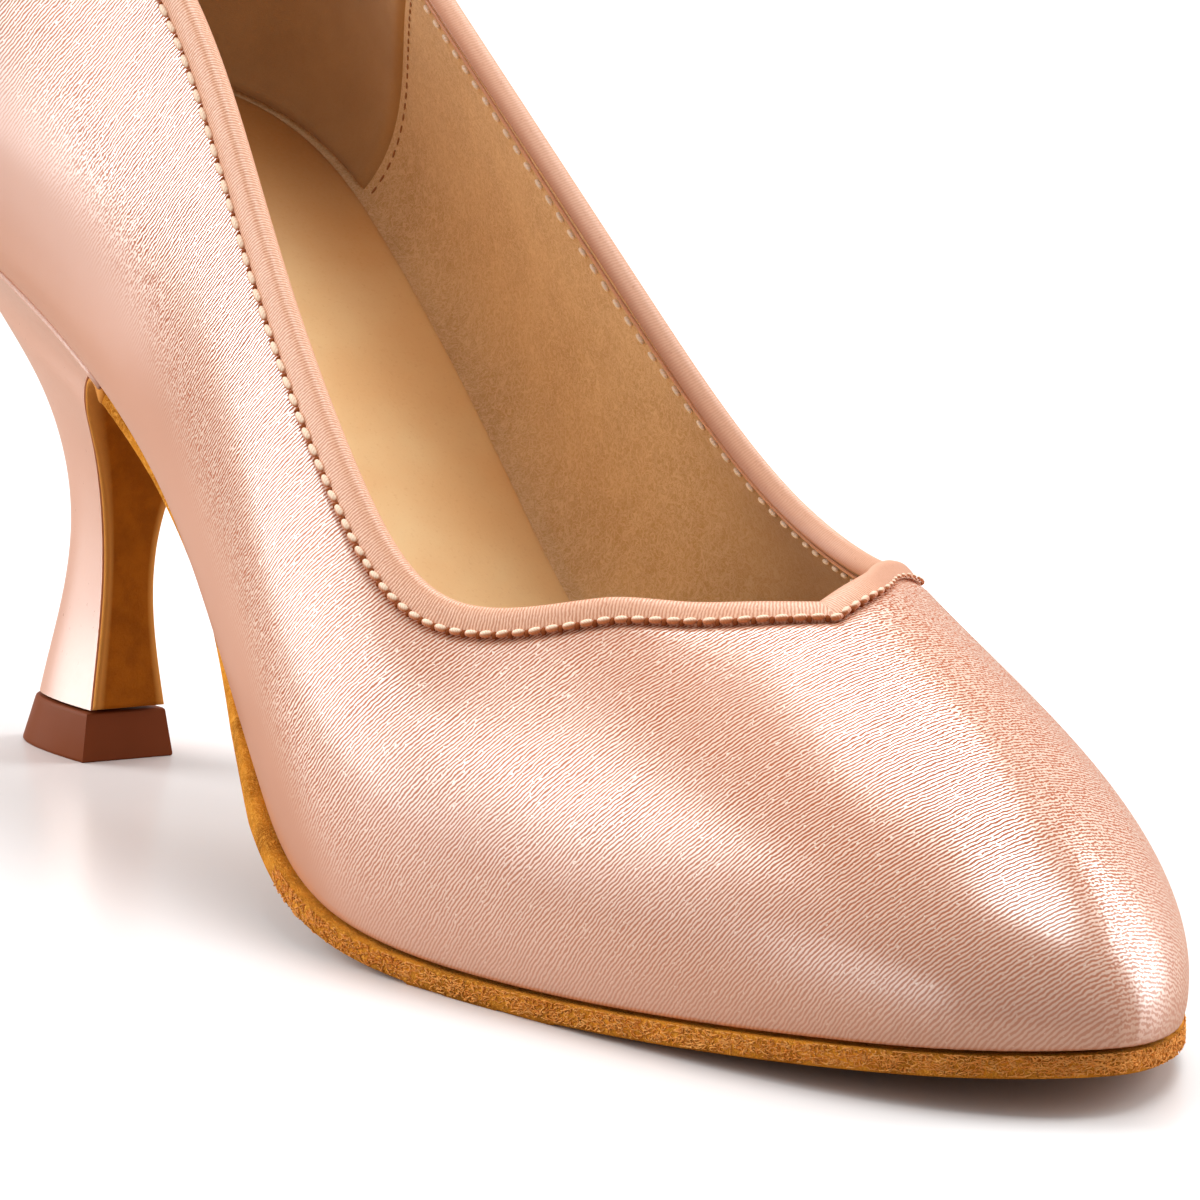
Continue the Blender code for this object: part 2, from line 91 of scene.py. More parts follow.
# The topline over the same stations, percent of LENGTH, BALL_WIDTH and COLLAR_HEIGHT:
# along, out and up on the lateral side, then on the medial side.
TOPLINE = np.array([
    [1.3, 0.0, 100.0, 1.3, 0.0, 100.0],
    [3.8, 21.5, 99.6, 3.8, 21.5, 99.5],
    [12.0, 30.5, 95.2, 12.0, 30.5, 94.6],
    [23.6, 27.2, 86.5, 23.6, 28.0, 82.8],
    [35.3, 26.0, 74.0, 35.5, 26.5, 68.5],
    [47.0, 32.3, 54.8, 47.0, 31.0, 51.0],
    [57.3, 37.0, 39.1, 57.1, 34.8, 37.0],
    [65.0, 35.7, 30.7, 65.6, 33.3, 33.0],
    [70.5, 24.5, 32.3, 71.0, 24.5, 34.8],
    [73.0, 14.5, 33.4, 72.9, 14.3, 35.9],
    [74.0, 7.0, 34.5, 73.9, 6.6, 36.0],
    [74.2, 0.0, 35.2, 74.2, 0.0, 35.2],
])


# %% A smooth closed curve
def closed_spline(knots, points, period):
    """A cubic with no break in slope or bend through points, as a function of place. The
    bends at the points solve one set of equations, a row for each point."""
    count = len(points)
    step = np.diff(np.append(knots, period))
    before = np.roll(step, 1)
    ahead = (np.roll(points, -1, axis=0) - points) / step[:, None]
    bend = 6.0 * (ahead - np.roll(ahead, 1, axis=0))
    system = np.zeros((count, count))
    rows = np.arange(count)
    system[rows, rows] = 2.0 * (before + step)
    system[rows, rows - 1] += before
    system[rows, (rows + 1) % count] += step
    curl = np.linalg.solve(system, bend)

    def curve(place):
        """a p + b q, with b the share of the way from p to q and a = 1 - b, and the bow."""
        place = np.mod(np.asarray(place, float), period)
        i = np.clip(np.searchsorted(knots, place, side="right") - 1, 0, count - 1)
        j = (i + 1) % count
        h = step[i][..., None]
        b = (place - knots[i])[..., None] / h
        a = 1.0 - b
        bow = ((a ** 3 - a) * curl[i] + (b ** 3 - b) * curl[j]) * h ** 2 / 6.0
        return a * points[i] + b * points[j] + bow

    return curve


# %% Both sides of a table in one loop: heel back, lateral side, toe, medial side
def round_the_last(lateral, medial):
    """Rows of the lateral side, then those of the medial side back, without its two ends."""
    return np.concatenate([lateral, medial[-2:0:-1]])


def column(name):
    """One named column of the last's table, round both sides."""
    values = LAST[:, LAST_COLUMNS.index(name)]
    return round_the_last(values, values)[:, None]


along, lateral_out, medial_out, rise = LAST[:, :4].T
feather_x = along / 100 * LENGTH
feather_z = TREAD_TOP + rise / 100 * SEAT_RISE
FEATHER = round_the_last(
    np.column_stack([feather_x, -lateral_out / 100 * BALL_WIDTH, feather_z]),
    np.column_stack([feather_x, medial_out / 100 * BALL_WIDTH, feather_z]))
TOP = round_the_last(
    TOPLINE[:, :3] / 100 * (LENGTH, -BALL_WIDTH, COLLAR_HEIGHT),
    TOPLINE[:, 3:] / 100 * (LENGTH, BALL_WIDTH, COLLAR_HEIGHT))
CHORDS = np.linalg.norm(np.roll(FEATHER, -1, axis=0) - FEATHER, axis=1)
KNOTS = np.concatenate([[0.0], np.cumsum(CHORDS)[:-1]])
GIRTH = CHORDS.sum()
TOE = KNOTS[len(LAST) - 1]
print("featherline", round(GIRTH, 1), "mm round, toe at", round(TOE, 1))


# %% The four curves
def unit(vectors):
    """Vectors divided by their own lengths."""
    return vectors / np.linalg.norm(vectors, axis=-1, keepdims=True)


def running(line):
    """Running length at each point of a line: the sum of the steps up to it."""
    return np.append(0.0, np.cumsum(np.linalg.norm(np.diff(line, axis=0), axis=1)))


def at_lengths(lengths, run, line):
    """Points of a line where its running length has the given values."""
    return np.stack([np.interp(lengths, run, line[:, axis]) for axis in range(3)], axis=1)


def plan_outward(curve, places):
    """Unit vectors that point out of a closed curve, level with the floor."""
    way = curve(places + 0.5) - curve(places - 0.5)
    return unit(np.stack([way[..., 1], -way[..., 0], np.zeros(way.shape[:-1])], axis=-1))


feather = closed_spline(KNOTS, FEATHER, GIRTH)
OUTWARD = plan_outward(feather, KNOTS)
UP = np.array([0.0, 0.0, 1.0])
LEVEL = np.array([1.0, 1.0, 0.0])
BELLY = FEATHER + OUTWARD * column("belly_out") + UP * column("belly_up")
LID = (TOP + (FEATHER - TOP) * LEVEL * column("lid_pull")
       + OUTWARD * column("lid_out") - UP * column("lid_drop"))
belly = closed_spline(KNOTS, BELLY, GIRTH)
lid = closed_spline(KNOTS, LID, GIRTH)
topline = closed_spline(KNOTS, TOP, GIRTH)

# %% [markdown]
# ## Walking on the wall
#
# Every piece of the upper lies on the last's wall, so it needs an address on it. A place
# is millimetres along the featherline from the heel back, and a height is millimetres up
# the wall from there. Between the four curves each rib is a cubic Bezier, and heights are
# turned into points by its running length, so that a stitch stays a stitch long anywhere.


# %% Points on the wall from places and heights
RIB_APART = 1e4         # more than any rib is long


def rib_lengths(places, steps=121):
    """Fine points up each rib, s^3 F + 3 s^2 t B + 3 s t^2 L + t^3 T, and running lengths."""
    t = np.linspace(0.0, 1.0, steps)[None, :, None]
    s = 1.0 - t
    a, b, c, d = (curve(places)[:, None, :] for curve in (feather, belly, lid, topline))
    points = s ** 3 * a + 3 * s ** 2 * t * b + 3 * s * t ** 2 * c + t ** 3 * d
    pieces = np.linalg.norm(np.diff(points, axis=1), axis=2)
    return points, np.pad(np.cumsum(pieces, axis=1), ((0, 0), (1, 0)))


def wall(places, heights):
    """Points on the outside of the wall; heights is an array (place, row). Each rib's
    lengths are lifted clear of the rib before, so that one sorted search serves them all."""
    points, lengths = rib_lengths(places)
    count, steps = lengths.shape
    lift = RIB_APART * np.arange(count)[:, None]
    flat = (lengths + lift).ravel()
    want = heights + lift
    first = steps * np.arange(count)[:, None]
    i = np.searchsorted(flat, want.ravel()).reshape(want.shape)
    i = np.clip(i, first + 1, first + steps - 1)
    share = ((want - flat[i - 1]) / (flat[i] - flat[i - 1]))[..., None]
    points = points.reshape(-1, 3)
    return points[i - 1] * (1.0 - share) + points[i] * share


def wall_outward(places, heights, reach=1.0):
    """Unit vectors out of the wall, from the cross product of its two slopes."""
    above = wall(places, heights + reach / 2)
    below = wall(places, heights - reach / 2)
    ahead = wall(places + reach / 2, heights)
    behind = wall(places - reach / 2, heights)
    return unit(np.cross(ahead - behind, above - below))


def notch(places):
    """Depth of the V cut: NOTCH_DEPTH times share to the power NOTCH_EASE, where share is 1
    at the point and 0 from NOTCH_REACH on."""
    from_point = np.abs(np.mod(places, GIRTH) - TOE + NOTCH_SIDE)
    return NOTCH_DEPTH * np.clip(1.0 - from_point / NOTCH_REACH, 0.0, 1.0) ** NOTCH_EASE


def edge_heights(places):
    """Height of the shoe's real edge: the length of the rib, less the V cut."""
    return rib_lengths(places)[1][:, -1] - notch(places)


def edge_lean(places, down=2.0, aside=0.6):
    """1 / sine of the angle between rib and edge, which turns a width across the edge
    into a length down the rib."""
    here = edge_heights(places)
    points = wall(places, np.stack([here - down, here], axis=1))
    up = unit(points[:, 1] - points[:, 0])
    lean = np.ones(len(places))
    for near in (places - aside, places + aside):
        there = wall(near, edge_heights(near)[:, None])[:, 0]
        sine = np.linalg.norm(np.cross(up, unit(there - points[:, 1])), axis=1)
        lean = np.maximum(lean, 1.0 / sine)
    return lean


def side_places(columns, crowd=0.3):
    """Places from heel back to toe to heel back, closer together at both ends."""
    share = np.linspace(0.0, 1.0, columns + 1)
    share = share - crowd * np.sin(2 * np.pi * share) / (2 * np.pi)
    return np.concatenate([share * TOE, (GIRTH - share[::-1] * (GIRTH - TOE))[1:-1]])


# %% From arrays to objects
MM = 0.001
shoe = bpy.data.collections.new("dressed_shoe")
bpy.context.scene.collection.children.link(shoe)


def face_outwards(mesh):
    """Turns every face of a closed mesh to point out of it."""
    work = bmesh.new()
    work.from_mesh(mesh)
    bmesh.ops.recalc_face_normals(work, faces=work.faces)
    work.to_mesh(mesh)
    work.free()


def new_piece(name, points, faces, material):
    """A smooth closed mesh object from points in millimetres and a list of faces."""
    mesh = bpy.data.meshes.new(name)
    mesh.from_pydata((points - MIDDLE) * MM, [], faces)
    mesh.validate()
    mesh.materials.append(material)
    mesh.shade_smooth()
    face_outwards(mesh)
    piece = bpy.data.objects.new(name, mesh)
    shoe.objects.link(piece)
    return piece


# %% Faces of a grid, and the last steps for every piece
def quads(rings, size, closed_rings=True, closed_band=True):
    """Quads between neighbouring rings of points, numbered ring by ring."""
    i = np.arange(rings if closed_band else rings - 1)[:, None]
    j = np.arange(size if closed_rings else size - 1)[None, :]
    a = i * size + j
    b = i * size + (j + 1) % size
    c = (i + 1) % rings * size + (j + 1) % size
    d = (i + 1) % rings * size + j
    return np.stack([a, d, c, b], axis=-1).reshape(-1, 4)


def stretched_sheet(piece, width, length, *under):
    """Prints the cut's area of cloth pulled over the last: half that of its closed faces."""
    areas = np.empty(len(piece.data.polygons))
    piece.data.polygons.foreach_get("area", areas)
    print(piece.name, "cut", round(areas.sum() / 2.0, 4), "square metres")


def finish(piece, node):
    """The piece rides on the shoe's one body, and hides the frame's node that it stands for."""
    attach(piece, "root")
    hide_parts(node)
    print(piece.name, len(piece.data.polygons), "faces")

# %% [markdown]
# ## Finishes
#
# Satin could be a plain glossy cloth, but what the eye reads is its rib: fine ridges, two
# or three to the millimetre, that catch light on their backs and hide colour between
# them. The rib runs at a slant to the foot, so each vertex carries its place across the
# rib in millimetres, with how much rib and how much maze there is, and the pattern is
# drawn on those. Small patterns that more than one material needs are node groups with
# named sockets.


# %% Helpers for nodes and sums
def plug(tree, node, inputs):
    """Sets each named input of a node to a value, or links another socket to it."""
    for key, value in inputs.items():
        if isinstance(value, bpy.types.NodeSocket):
            tree.links.new(value, node.inputs[key])
        else:
            node.inputs[key].default_value = value


def add(tree, kind, inputs, **settings):
    """A node with its settings and inputs."""
    node = tree.nodes.new(kind)
    for key, value in settings.items():
        setattr(node, key, value)
    plug(tree, node, inputs)
    return node


def calc(tree, operation, *values):
    """One sum on one to three numbers."""
    inputs = dict(enumerate(values))
    return add(tree, "ShaderNodeMath", inputs, operation=operation).outputs[0]


def vector_calc(tree, operation, inputs):
    """One sum on vectors."""
    return add(tree, "ShaderNodeVectorMath", inputs, operation=operation).outputs[0]


# %% Helpers for patterns and colours
def noise(tree, vector, scale, detail=2.0, roughness=0.5, distortion=0.0):
    """Smooth random values round 0.5; scale is in waves for each unit of the vector."""
    node = add(tree, "ShaderNodeTexNoise", {"Vector": vector, "Scale": scale, "Detail": detail,
                                            "Roughness": roughness, "Distortion": distortion})
    return node.outputs["Fac"]


def remap(tree, value, low, high, new_low=0.0, new_high=1.0):
    """value taken from low..high to new_low..new_high, smoothly and held at the ends."""
    return add(tree, "ShaderNodeMapRange",
               {0: value, 1: low, 2: high, 3: new_low, 4: new_high},
               interpolation_type="SMOOTHSTEP").outputs[0]


def mix(tree, share, a, b):
    """Colour a where share is 0 and colour b where it is 1."""
    return add(tree, "ShaderNodeMix", {0: share, 6: a, 7: b}, data_type="RGBA").outputs[2]


def colour(red, green, blue):
    """sRGB 0..255 to a linear colour socket value."""
    c = np.array([red, green, blue]) / 255.0
    linear = np.where(c <= 0.04045, c / 12.92, ((c + 0.055) / 1.055) ** 2.4)
    return (*linear.tolist(), 1.0)


def attribute(tree, name, output="Fac"):
    """The values painted on the vertices under a name."""
    return add(tree, "ShaderNodeAttribute", {}, attribute_name=name).outputs[output]


def millimetres(tree):
    """Places in the solid, in millimetres, for noises that must not stretch on the surface."""
    place = add(tree, "ShaderNodeTexCoord", {}).outputs["Object"]
    return vector_calc(tree, "MULTIPLY", {0: place, 1: (1 / MM, 1 / MM, 1 / MM)})


def parts_of(tree, vector):
    """The outputs X, Y and Z of a vector."""
    return add(tree, "ShaderNodeSeparateXYZ", {0: vector}).outputs


# %% Helpers for groups and materials
def new_group(name, inputs, outputs):
    """An empty node group with float or vector sockets, and its two end nodes."""
    group = bpy.data.node_groups.new(name, "ShaderNodeTree")
    for key, value in inputs.items():
        kind = "NodeSocketVector" if value is None else "NodeSocketFloat"
        socket = group.interface.new_socket(key, in_out="INPUT", socket_type=kind)
        if value is not None:
            socket.default_value = value
    for key in outputs:
        group.interface.new_socket(key, in_out="OUTPUT", socket_type="NodeSocketFloat")
    start = group.nodes.new("NodeGroupInput").outputs
    end = group.nodes.new("NodeGroupOutput").inputs
    return group, start, end


def use_group(tree, group, inputs):
    """A node group placed in a material with its own values."""
    return add(tree, "ShaderNodeGroup", inputs, node_tree=group).outputs


def new_material(name):
    """A material, its node tree and its shader."""
    material = bpy.data.materials.new(name)
    material.use_nodes = True
    tree = material.node_tree
    return material, tree, tree.nodes["Principled BSDF"]


def bump(tree, height, distance, strength, **more):
    """A normal that leans as if a height of 1 stood distance metres out."""
    inputs = {"Height": height, "Distance": distance, "Strength": strength, **more}
    return add(tree, "ShaderNodeBump", inputs).outputs["Normal"]

# %% [markdown]
# ### The rib of the satin
#
# A rib is a sine of the place across it. A soft push on its phase makes it wander and
# kink. Where the cloth is steamed round a curve its ribs break up and join into a maze of
# short worms; that is a noise of the same width, blended in by a share.

# %% Node group: rib
DRIFT = 2.0             # pitches that a rib wanders by over some centimetres,
KINKS = 0.55            # and over a millimetre or two,
MAZE_KINKS = 1.6        # with this much more in the maze
WORM_HEIGHT = 4.6       # brings a noise's narrow range up to that of the sine

rib_group, start, end = new_group(
    "rib", {"Across": 0.0, "Place": None, "Pitch": 0.4, "Maze": 0.2}, ["Rib", "Speck"])
drift = noise(rib_group, start["Place"], 0.14, 1.0)
kinks = noise(rib_group, start["Place"], 1.2, 1.0)
kink_share = calc(rib_group, "MULTIPLY_ADD", start["Maze"], MAZE_KINKS, KINKS)
turns = calc(rib_group, "DIVIDE", start["Across"], start["Pitch"])
turns = calc(rib_group, "ADD", turns, calc(rib_group, "MULTIPLY", drift, DRIFT))
turns = calc(rib_group, "ADD", turns, calc(rib_group, "MULTIPLY", kinks, kink_share))
wave = calc(rib_group, "SINE", calc(rib_group, "MULTIPLY", turns, 2 * np.pi))
wave = calc(rib_group, "MULTIPLY", wave, calc(rib_group, "SUBTRACT", 1.0, start["Maze"]))
worms = calc(rib_group, "SUBTRACT", noise(rib_group, start["Place"], 3.4, 0.0), 0.5)
worms = calc(rib_group, "MULTIPLY", calc(rib_group, "MULTIPLY", worms, WORM_HEIGHT), start["Maze"])
rib_group.links.new(remap(rib_group, calc(rib_group, "ADD", wave, worms), -0.75, 0.75), end["Rib"])
specks = noise(rib_group, start["Place"], 2.1, 1.0)
rib_group.links.new(remap(rib_group, specks, 0.67, 0.74), end["Speck"])

# %% [markdown]
# ### Napped fibres
#
# Suede and microfibre are felts of short curled fibres. Hair particles would be heavy, so
# the fibres are thin lines where a bent noise passes its middle value, at two sizes, and
# real curled fibres are added only along the edge that is seen closest.

# %% Node group: nap
nap_group, start, end = new_group("nap", {"Place": None, "Fineness": 1.0}, ["Fibre", "Patch"])
scaled = vector_calc(nap_group, "SCALE", {0: start["Place"], "Scale": start["Fineness"]})


def fibre_lines(scale, roughness, distortion, width, strength):
    """strength where a bent noise is 0.5, down to 0 where it is width away from that."""
    bent = noise(nap_group, scaled, scale, 2.0, roughness, distortion)
    from_middle = calc(nap_group, "ABSOLUTE", calc(nap_group, "SUBTRACT", bent, 0.5))
    return remap(nap_group, from_middle, 0.0, width, strength, 0.0)


long_fibres = fibre_lines(1.0, 0.55, 1.6, 0.07, 1.0)
short_fibres = fibre_lines(3.1, 0.60, 1.0, 0.09, 0.7)
nap_group.links.new(calc(nap_group, "MAXIMUM", long_fibres, short_fibres), end["Fibre"])
nap_group.links.new(noise(nap_group, scaled, 0.22, 3.0), end["Patch"])


# %% [markdown]
# ### Ribbed satin
#
# The upper's cloth is woven with long floats of thread over its ribs, and these are what
# shines. One glossy cloth would shine in the grooves too, so a clear coat is laid on by
# the rib's own height, over a matt base that is deeper in colour in the grooves.

# %% Satin for the upper
UPPER_PITCH = 0.40      # from rib to rib
PLAIN_COAT = 0.55       # coat of the cloth where it has no rib


def ribbed_satin_material():
    """Flesh satin with ribs; the surface says how much rib and how much maze there is.
    The coat is mixed by grain: PLAIN_COAT where it is 0, the ridge's height where it is 1."""
    material, tree, shader = new_material("ribbed_satin")
    place = millimetres(tree)
    ribs = use_group(tree, rib_group, {"Across": attribute(tree, "across"), "Place": place,
                                       "Pitch": UPPER_PITCH, "Maze": attribute(tree, "maze")})
    grain = attribute(tree, "grain")
    ridge = calc(tree, "MAXIMUM", remap(tree, ribs["Rib"], 0.20, 0.80), ribs["Speck"])
    rib_height = calc(tree, "MULTIPLY", ribs["Rib"], grain)
    cloth = noise(tree, place, 2.4, 3.0, 0.6)
    tone = noise(tree, place, 0.05)
    plain = mix(tree, tone, colour(207, 145, 114), colour(218, 156, 126))
    ribbed = mix(tree, ridge, colour(178, 98, 62), colour(255, 213, 185))
    coat = calc(tree, "MULTIPLY_ADD", grain, calc(tree, "SUBTRACT", ridge, PLAIN_COAT), PLAIN_COAT)
    cloth_normal = bump(tree, cloth, 0.00002, 0.5)
    plug(tree, shader, {
        "Base Color": mix(tree, grain, plain, ribbed),
        "Roughness": remap(tree, rib_height, 0.0, 1.0, 0.55, 0.35),
        "Specular IOR Level": 0.15,
        "Coat Weight": coat,
        "Coat IOR": 3.0,
        "Coat Roughness": 0.26,
        "Normal": bump(tree, rib_height, 0.00006, 0.8, Normal=cloth_normal)})
    return material


ribbed_satin = ribbed_satin_material()


# %% [markdown]
# ### Smooth satin
#
# The heel is covered in satin whose weave is too fine to see. Ribs would only flicker on
# so narrow a piece, so it has one colour, a faint grain, and a high index for its gloss.

# %% Smooth satin for the heel cover and its roll
def heel_satin_material():
    """Satin too fine to show a rib: glossy, with a faint grain drawn out up the heel."""
    material, tree, shader = new_material("heel_satin")
    place = millimetres(tree)
    drawn_out = vector_calc(tree, "MULTIPLY", {0: place, 1: (1.6, 1.6, 0.5)})
    cloth = noise(tree, drawn_out, 1.5, 3.0, 0.6)
    plug(tree, shader, {
        "Base Color": mix(tree, noise(tree, place, 0.06), colour(216, 160, 133),
                          colour(230, 174, 148)),
        "Roughness": remap(tree, cloth, 0.2, 0.8, 0.27, 0.34),
        "IOR": 2.45,
        "Normal": bump(tree, cloth, 0.00003, 0.5)})
    return material


heel_satin = heel_satin_material()

# %% [markdown]
# ### Satin of the binding
#
# The strip's fine ribs run straight across it all the way round. A pattern fixed in the
# solid would cross it at every angle, so the ribs read a length that each vertex carries,
# measured along the strip.

# %% Satin of the binding: fine broken ribs straight across the strip
BINDING_PITCH = 0.36
BINDING_MAZE = 0.22


def strip_satin_material():
    """Satin with fine ribs; the surface says how strong they are, and where shade is painted
    on the strip where it is turned in."""
    material, tree, shader = new_material("binding_satin")
    ribs = use_group(tree, rib_group, {
        "Across": attribute(tree, "across"), "Place": millimetres(tree),
        "Pitch": BINDING_PITCH, "Maze": BINDING_MAZE})
    from_middle = calc(tree, "SUBTRACT", ribs["Rib"], 0.5)
    rib = calc(tree, "MULTIPLY_ADD", from_middle, attribute(tree, "grain"), 0.5)
    shade = mix(tree, rib, colour(204, 138, 104), colour(238, 188, 156))
    shade = mix(tree, calc(tree, "MULTIPLY", ribs["Speck"], 0.25), shade, colour(176, 100, 66))
    # colour(172, 104, 70) is painted shade where the strip is turned in
    plug(tree, shader, {
        "Base Color": mix(tree, attribute(tree, "turned_in_shade"), shade, colour(172, 104, 70)),
        "Roughness": remap(tree, rib, 0.0, 1.0, 0.48, 0.32),
        "IOR": 1.50,
        "Normal": bump(tree, rib, 0.00003, 0.7)})
    return material


strip_satin = strip_satin_material()

# %% [markdown]
# ### Thread
#
# The stitches are short lengths of twisted thread. The twist could be modelled as strands,
# but a stitch is a millimetre long, so a sine round and along each one is enough, drawn on
# the stitch's own measures.

# %% Threads with painted highlight and shade, and the painted shade in a needle hole
TWIST = 0.3             # length of one turn of the thread's twist


def thread_material(name, top, shaded_flank):
    """Thread with a painted highlight on the crown, painted shade on the flanks, and its twist."""
    material, tree, shader = new_material(name)
    parts = parts_of(tree, attribute(tree, "stitch", "Vector"))
    slant = calc(tree, "MULTIPLY_ADD", parts["Y"], 0.7, parts["X"])
    twist = calc(tree, "SINE", calc(tree, "MULTIPLY", slant, 2 * np.pi / TWIST))
    twist = calc(tree, "MULTIPLY_ADD", twist, 0.5, 0.5)
    # painted light: the top colour on the crown is a highlight, the flank colour lower down is
    # shade
    up = calc(tree, "MULTIPLY_ADD", parts["Y"], 0.6, calc(tree, "ABSOLUTE", parts["Z"]))
    shade = mix(tree, remap(tree, up, 0.02, 0.30), shaded_flank, top)
    plug(tree, shader, {
        "Base Color": mix(tree, calc(tree, "MULTIPLY", twist, 0.25), shade, shaded_flank),
        "Roughness": 0.45,
        "Sheen Weight": 0.2,
        "Normal": bump(tree, twist, 0.00005, 0.6)})
    return material


def hole_shade_material():
    """Painted shade inside a pricked hole, in matt brown."""
    material, tree, shader = new_material("hole_shade")
    cloud = noise(tree, millimetres(tree), 0.9)
    plug(tree, shader, {
        "Base Color": mix(tree, cloud, colour(122, 58, 26), colour(160, 88, 48)),
        "Roughness": 0.9,
        "Specular IOR Level": 0.1})
    return material


# each thread with its lit crown colour and its shaded flank colour
thread = thread_material("waxed_thread", colour(254, 226, 196), colour(206, 122, 70))
pale_thread = thread_material("pale_thread", colour(255, 240, 220), colour(255, 228, 200))
brown_thread = thread_material("brown_thread", colour(190, 128, 76), colour(166, 106, 58))
# a dark material for the painted shade in the needle holes
hole_shade = hole_shade_material()


# %% [markdown]
# ### Microfibre and grip suede
#
# The lining is a felt of fine fibres, and the heel grip is a smoother suede. Both are the
# nap group over a blotched colour, each with its own fineness, so one function makes them.
# The lining also gets painted shade towards the toe.

# %% Microfibre lining, and the smoother suede of the heel grip
SHADE_FROM, SHADE_TO = -6.0, 20.0     # where painted shade darkens the felt, forward of the shoe's middle


def microfibre(name, dark, light, fibre, fineness, hairs, deep):
    """A felt of fine fibres, with shade painted on at the front, by the share deep."""
    material, tree, shader = new_material(name)
    place = millimetres(tree)
    nap = use_group(tree, nap_group, {"Place": place, "Fineness": fineness})
    blot = noise(tree, place, 0.10, 3.0, 0.55)
    shade = mix(tree, remap(tree, blot, 0.3, 0.7), dark, light)
    lit = mix(tree, calc(tree, "MULTIPLY", nap["Fibre"], hairs), shade, fibre)
    # painted shade: towards the toe the felt is mixed, up to the share deep, with colour(112, 68,
    # 36)
    inner = remap(tree, parts_of(tree, place)["X"], SHADE_FROM, SHADE_TO, 0.0, deep)
    plug(tree, shader, {
        "Base Color": mix(tree, inner, lit, colour(112, 68, 36)),
        "Roughness": 0.85,
        "Specular IOR Level": 0.3,
        "Sheen Weight": 0.15,
        "Sheen Roughness": 0.5,
        "Normal": bump(tree, nap["Fibre"], 0.00005, 0.4)})
    return material


# the lining takes 0.65 of painted shade at the front, the grip none
lining_cloth = microfibre("lining_microfibre", colour(208, 168, 118), colour(222, 184, 134),
                          colour(252, 224, 186), 0.8, 0.55, 0.65)
grip_suede = microfibre("heel_grip_suede", colour(180, 138, 90), colour(192, 150, 101),
                        colour(214, 178, 136), 2.6, 0.2, 0.0)


# %% [markdown]
# ### Leather of the sock
#
# The sock is smooth leather, with shade painted on at the heel end. A repeated grain would
# show its repeats on so large a plain piece, so two sizes of noise make its clouds and pores.

# %% Smooth leather for the sock
SHADED_TO, UNSHADED_FROM = -85.0, -48.0  # painted shade darkens the heel end, behind the shoe's middle


def sock_leather_material():
    """Cloudy leather with fine pores, with shade painted on under the heel."""
    material, tree, shader = new_material("sock_leather")
    place = millimetres(tree)
    cloud = remap(tree, noise(tree, place, 0.06, 3.0, 0.55), 0.3, 0.7)
    pores = noise(tree, place, 2.2, 3.0, 0.65)
    pore_share = calc(tree, "MULTIPLY", remap(tree, pores, 0.55, 0.75), 0.2)
    # painted shade: the leather darkens towards the heel end
    unshaded = remap(tree, parts_of(tree, place)["X"], SHADED_TO, UNSHADED_FROM)
    shade = mix(tree, cloud, colour(250, 206, 146), colour(255, 222, 166))
    shade = mix(tree, pore_share, shade, colour(214, 156, 96))
    # colour(196, 140, 78) is the painted shade at the heel end
    plug(tree, shader, {
        "Base Color": mix(tree, unshaded, colour(196, 140, 78), shade),
        "Roughness": remap(tree, pores, 0.3, 0.7, 0.42, 0.56),
        "Normal": bump(tree, pores, 0.00005, 0.35)})
    return material


sock_leather = sock_leather_material()


# %% [markdown]
# ### Suede of the sole
#
# Chrome suede has a raised nap in uneven patches, and is paler where it is cut. The sole,
# its loose fibres and its flap differ only in shades, fineness and how far the nap stands
# out, so one function makes all three.

# %% Suede of the sole, with a lighter cut edge
def sole_suede(name, shades, fineness, share, lift):
    """Napped suede in three shades, dark, middle and light: patches of the first two, and
    a share of the third on the fibres, which stand lift metres out."""
    material, tree, shader = new_material(name)
    dark, middle, light = (colour(*shade) for shade in shades)
    nap = use_group(tree, nap_group, {"Place": millimetres(tree), "Fineness": fineness})
    shade = mix(tree, remap(tree, nap["Patch"], 0.3, 0.7), dark, middle)
    shade = mix(tree, calc(tree, "MULTIPLY", nap["Fibre"], share), shade, light)
    plug(tree, shader, {
        "Base Color": mix(tree, attribute(tree, "cut_edge"), shade, colour(222, 152, 74)),
        "Roughness": 0.92,
        "Specular IOR Level": 0.08,
        "Normal": bump(tree, nap["Fibre"], lift, 0.8)})
    return material


edge_suede = sole_suede(
    "sole_suede", [(166, 92, 10), (242, 154, 42), (255, 182, 76)], 0.9, 0.7, 0.00014)
fibre_suede = sole_suede(
    "loose_fibres", [(224, 134, 52), (248, 166, 80), (255, 202, 124)], 0.5, 0.5, 0.00002)
breast_suede = sole_suede(
    "breast_suede", [(152, 80, 4), (174, 96, 12), (190, 112, 26)], 1.8, 0.25, 0.00004)


# %% [markdown]
# ### Plastic of the top piece
#
# The top piece is hard moulded plastic. One flat brown would do from afar, but a mould
# leaves a faint unevenness in the gloss, which keeps the flat faces from looking drawn.

# %% Moulded plastic of the top piece
def top_piece_material():
    """Hard brown plastic, barely clouded, with the faint unevenness of its mould."""
    material, tree, shader = new_material("top_piece_plastic")
    place = add(tree, "ShaderNodeTexCoord", {}).outputs["Object"]
    plug(tree, shader, {
        "Base Color": mix(tree, noise(tree, place, 120.0, 3.0), colour(122, 62, 32),
                          colour(134, 70, 39)),
        "Roughness": remap(tree, noise(tree, place, 300.0), 0.3, 0.7, 0.36, 0.42),
        "Specular IOR Level": 0.06,
        "Normal": bump(tree, noise(tree, place, 500.0, 1.0), 0.00001, 0.1)})
    return material


top_plastic = top_piece_material()
print("materials:", sorted(m.name for m in bpy.data.materials))

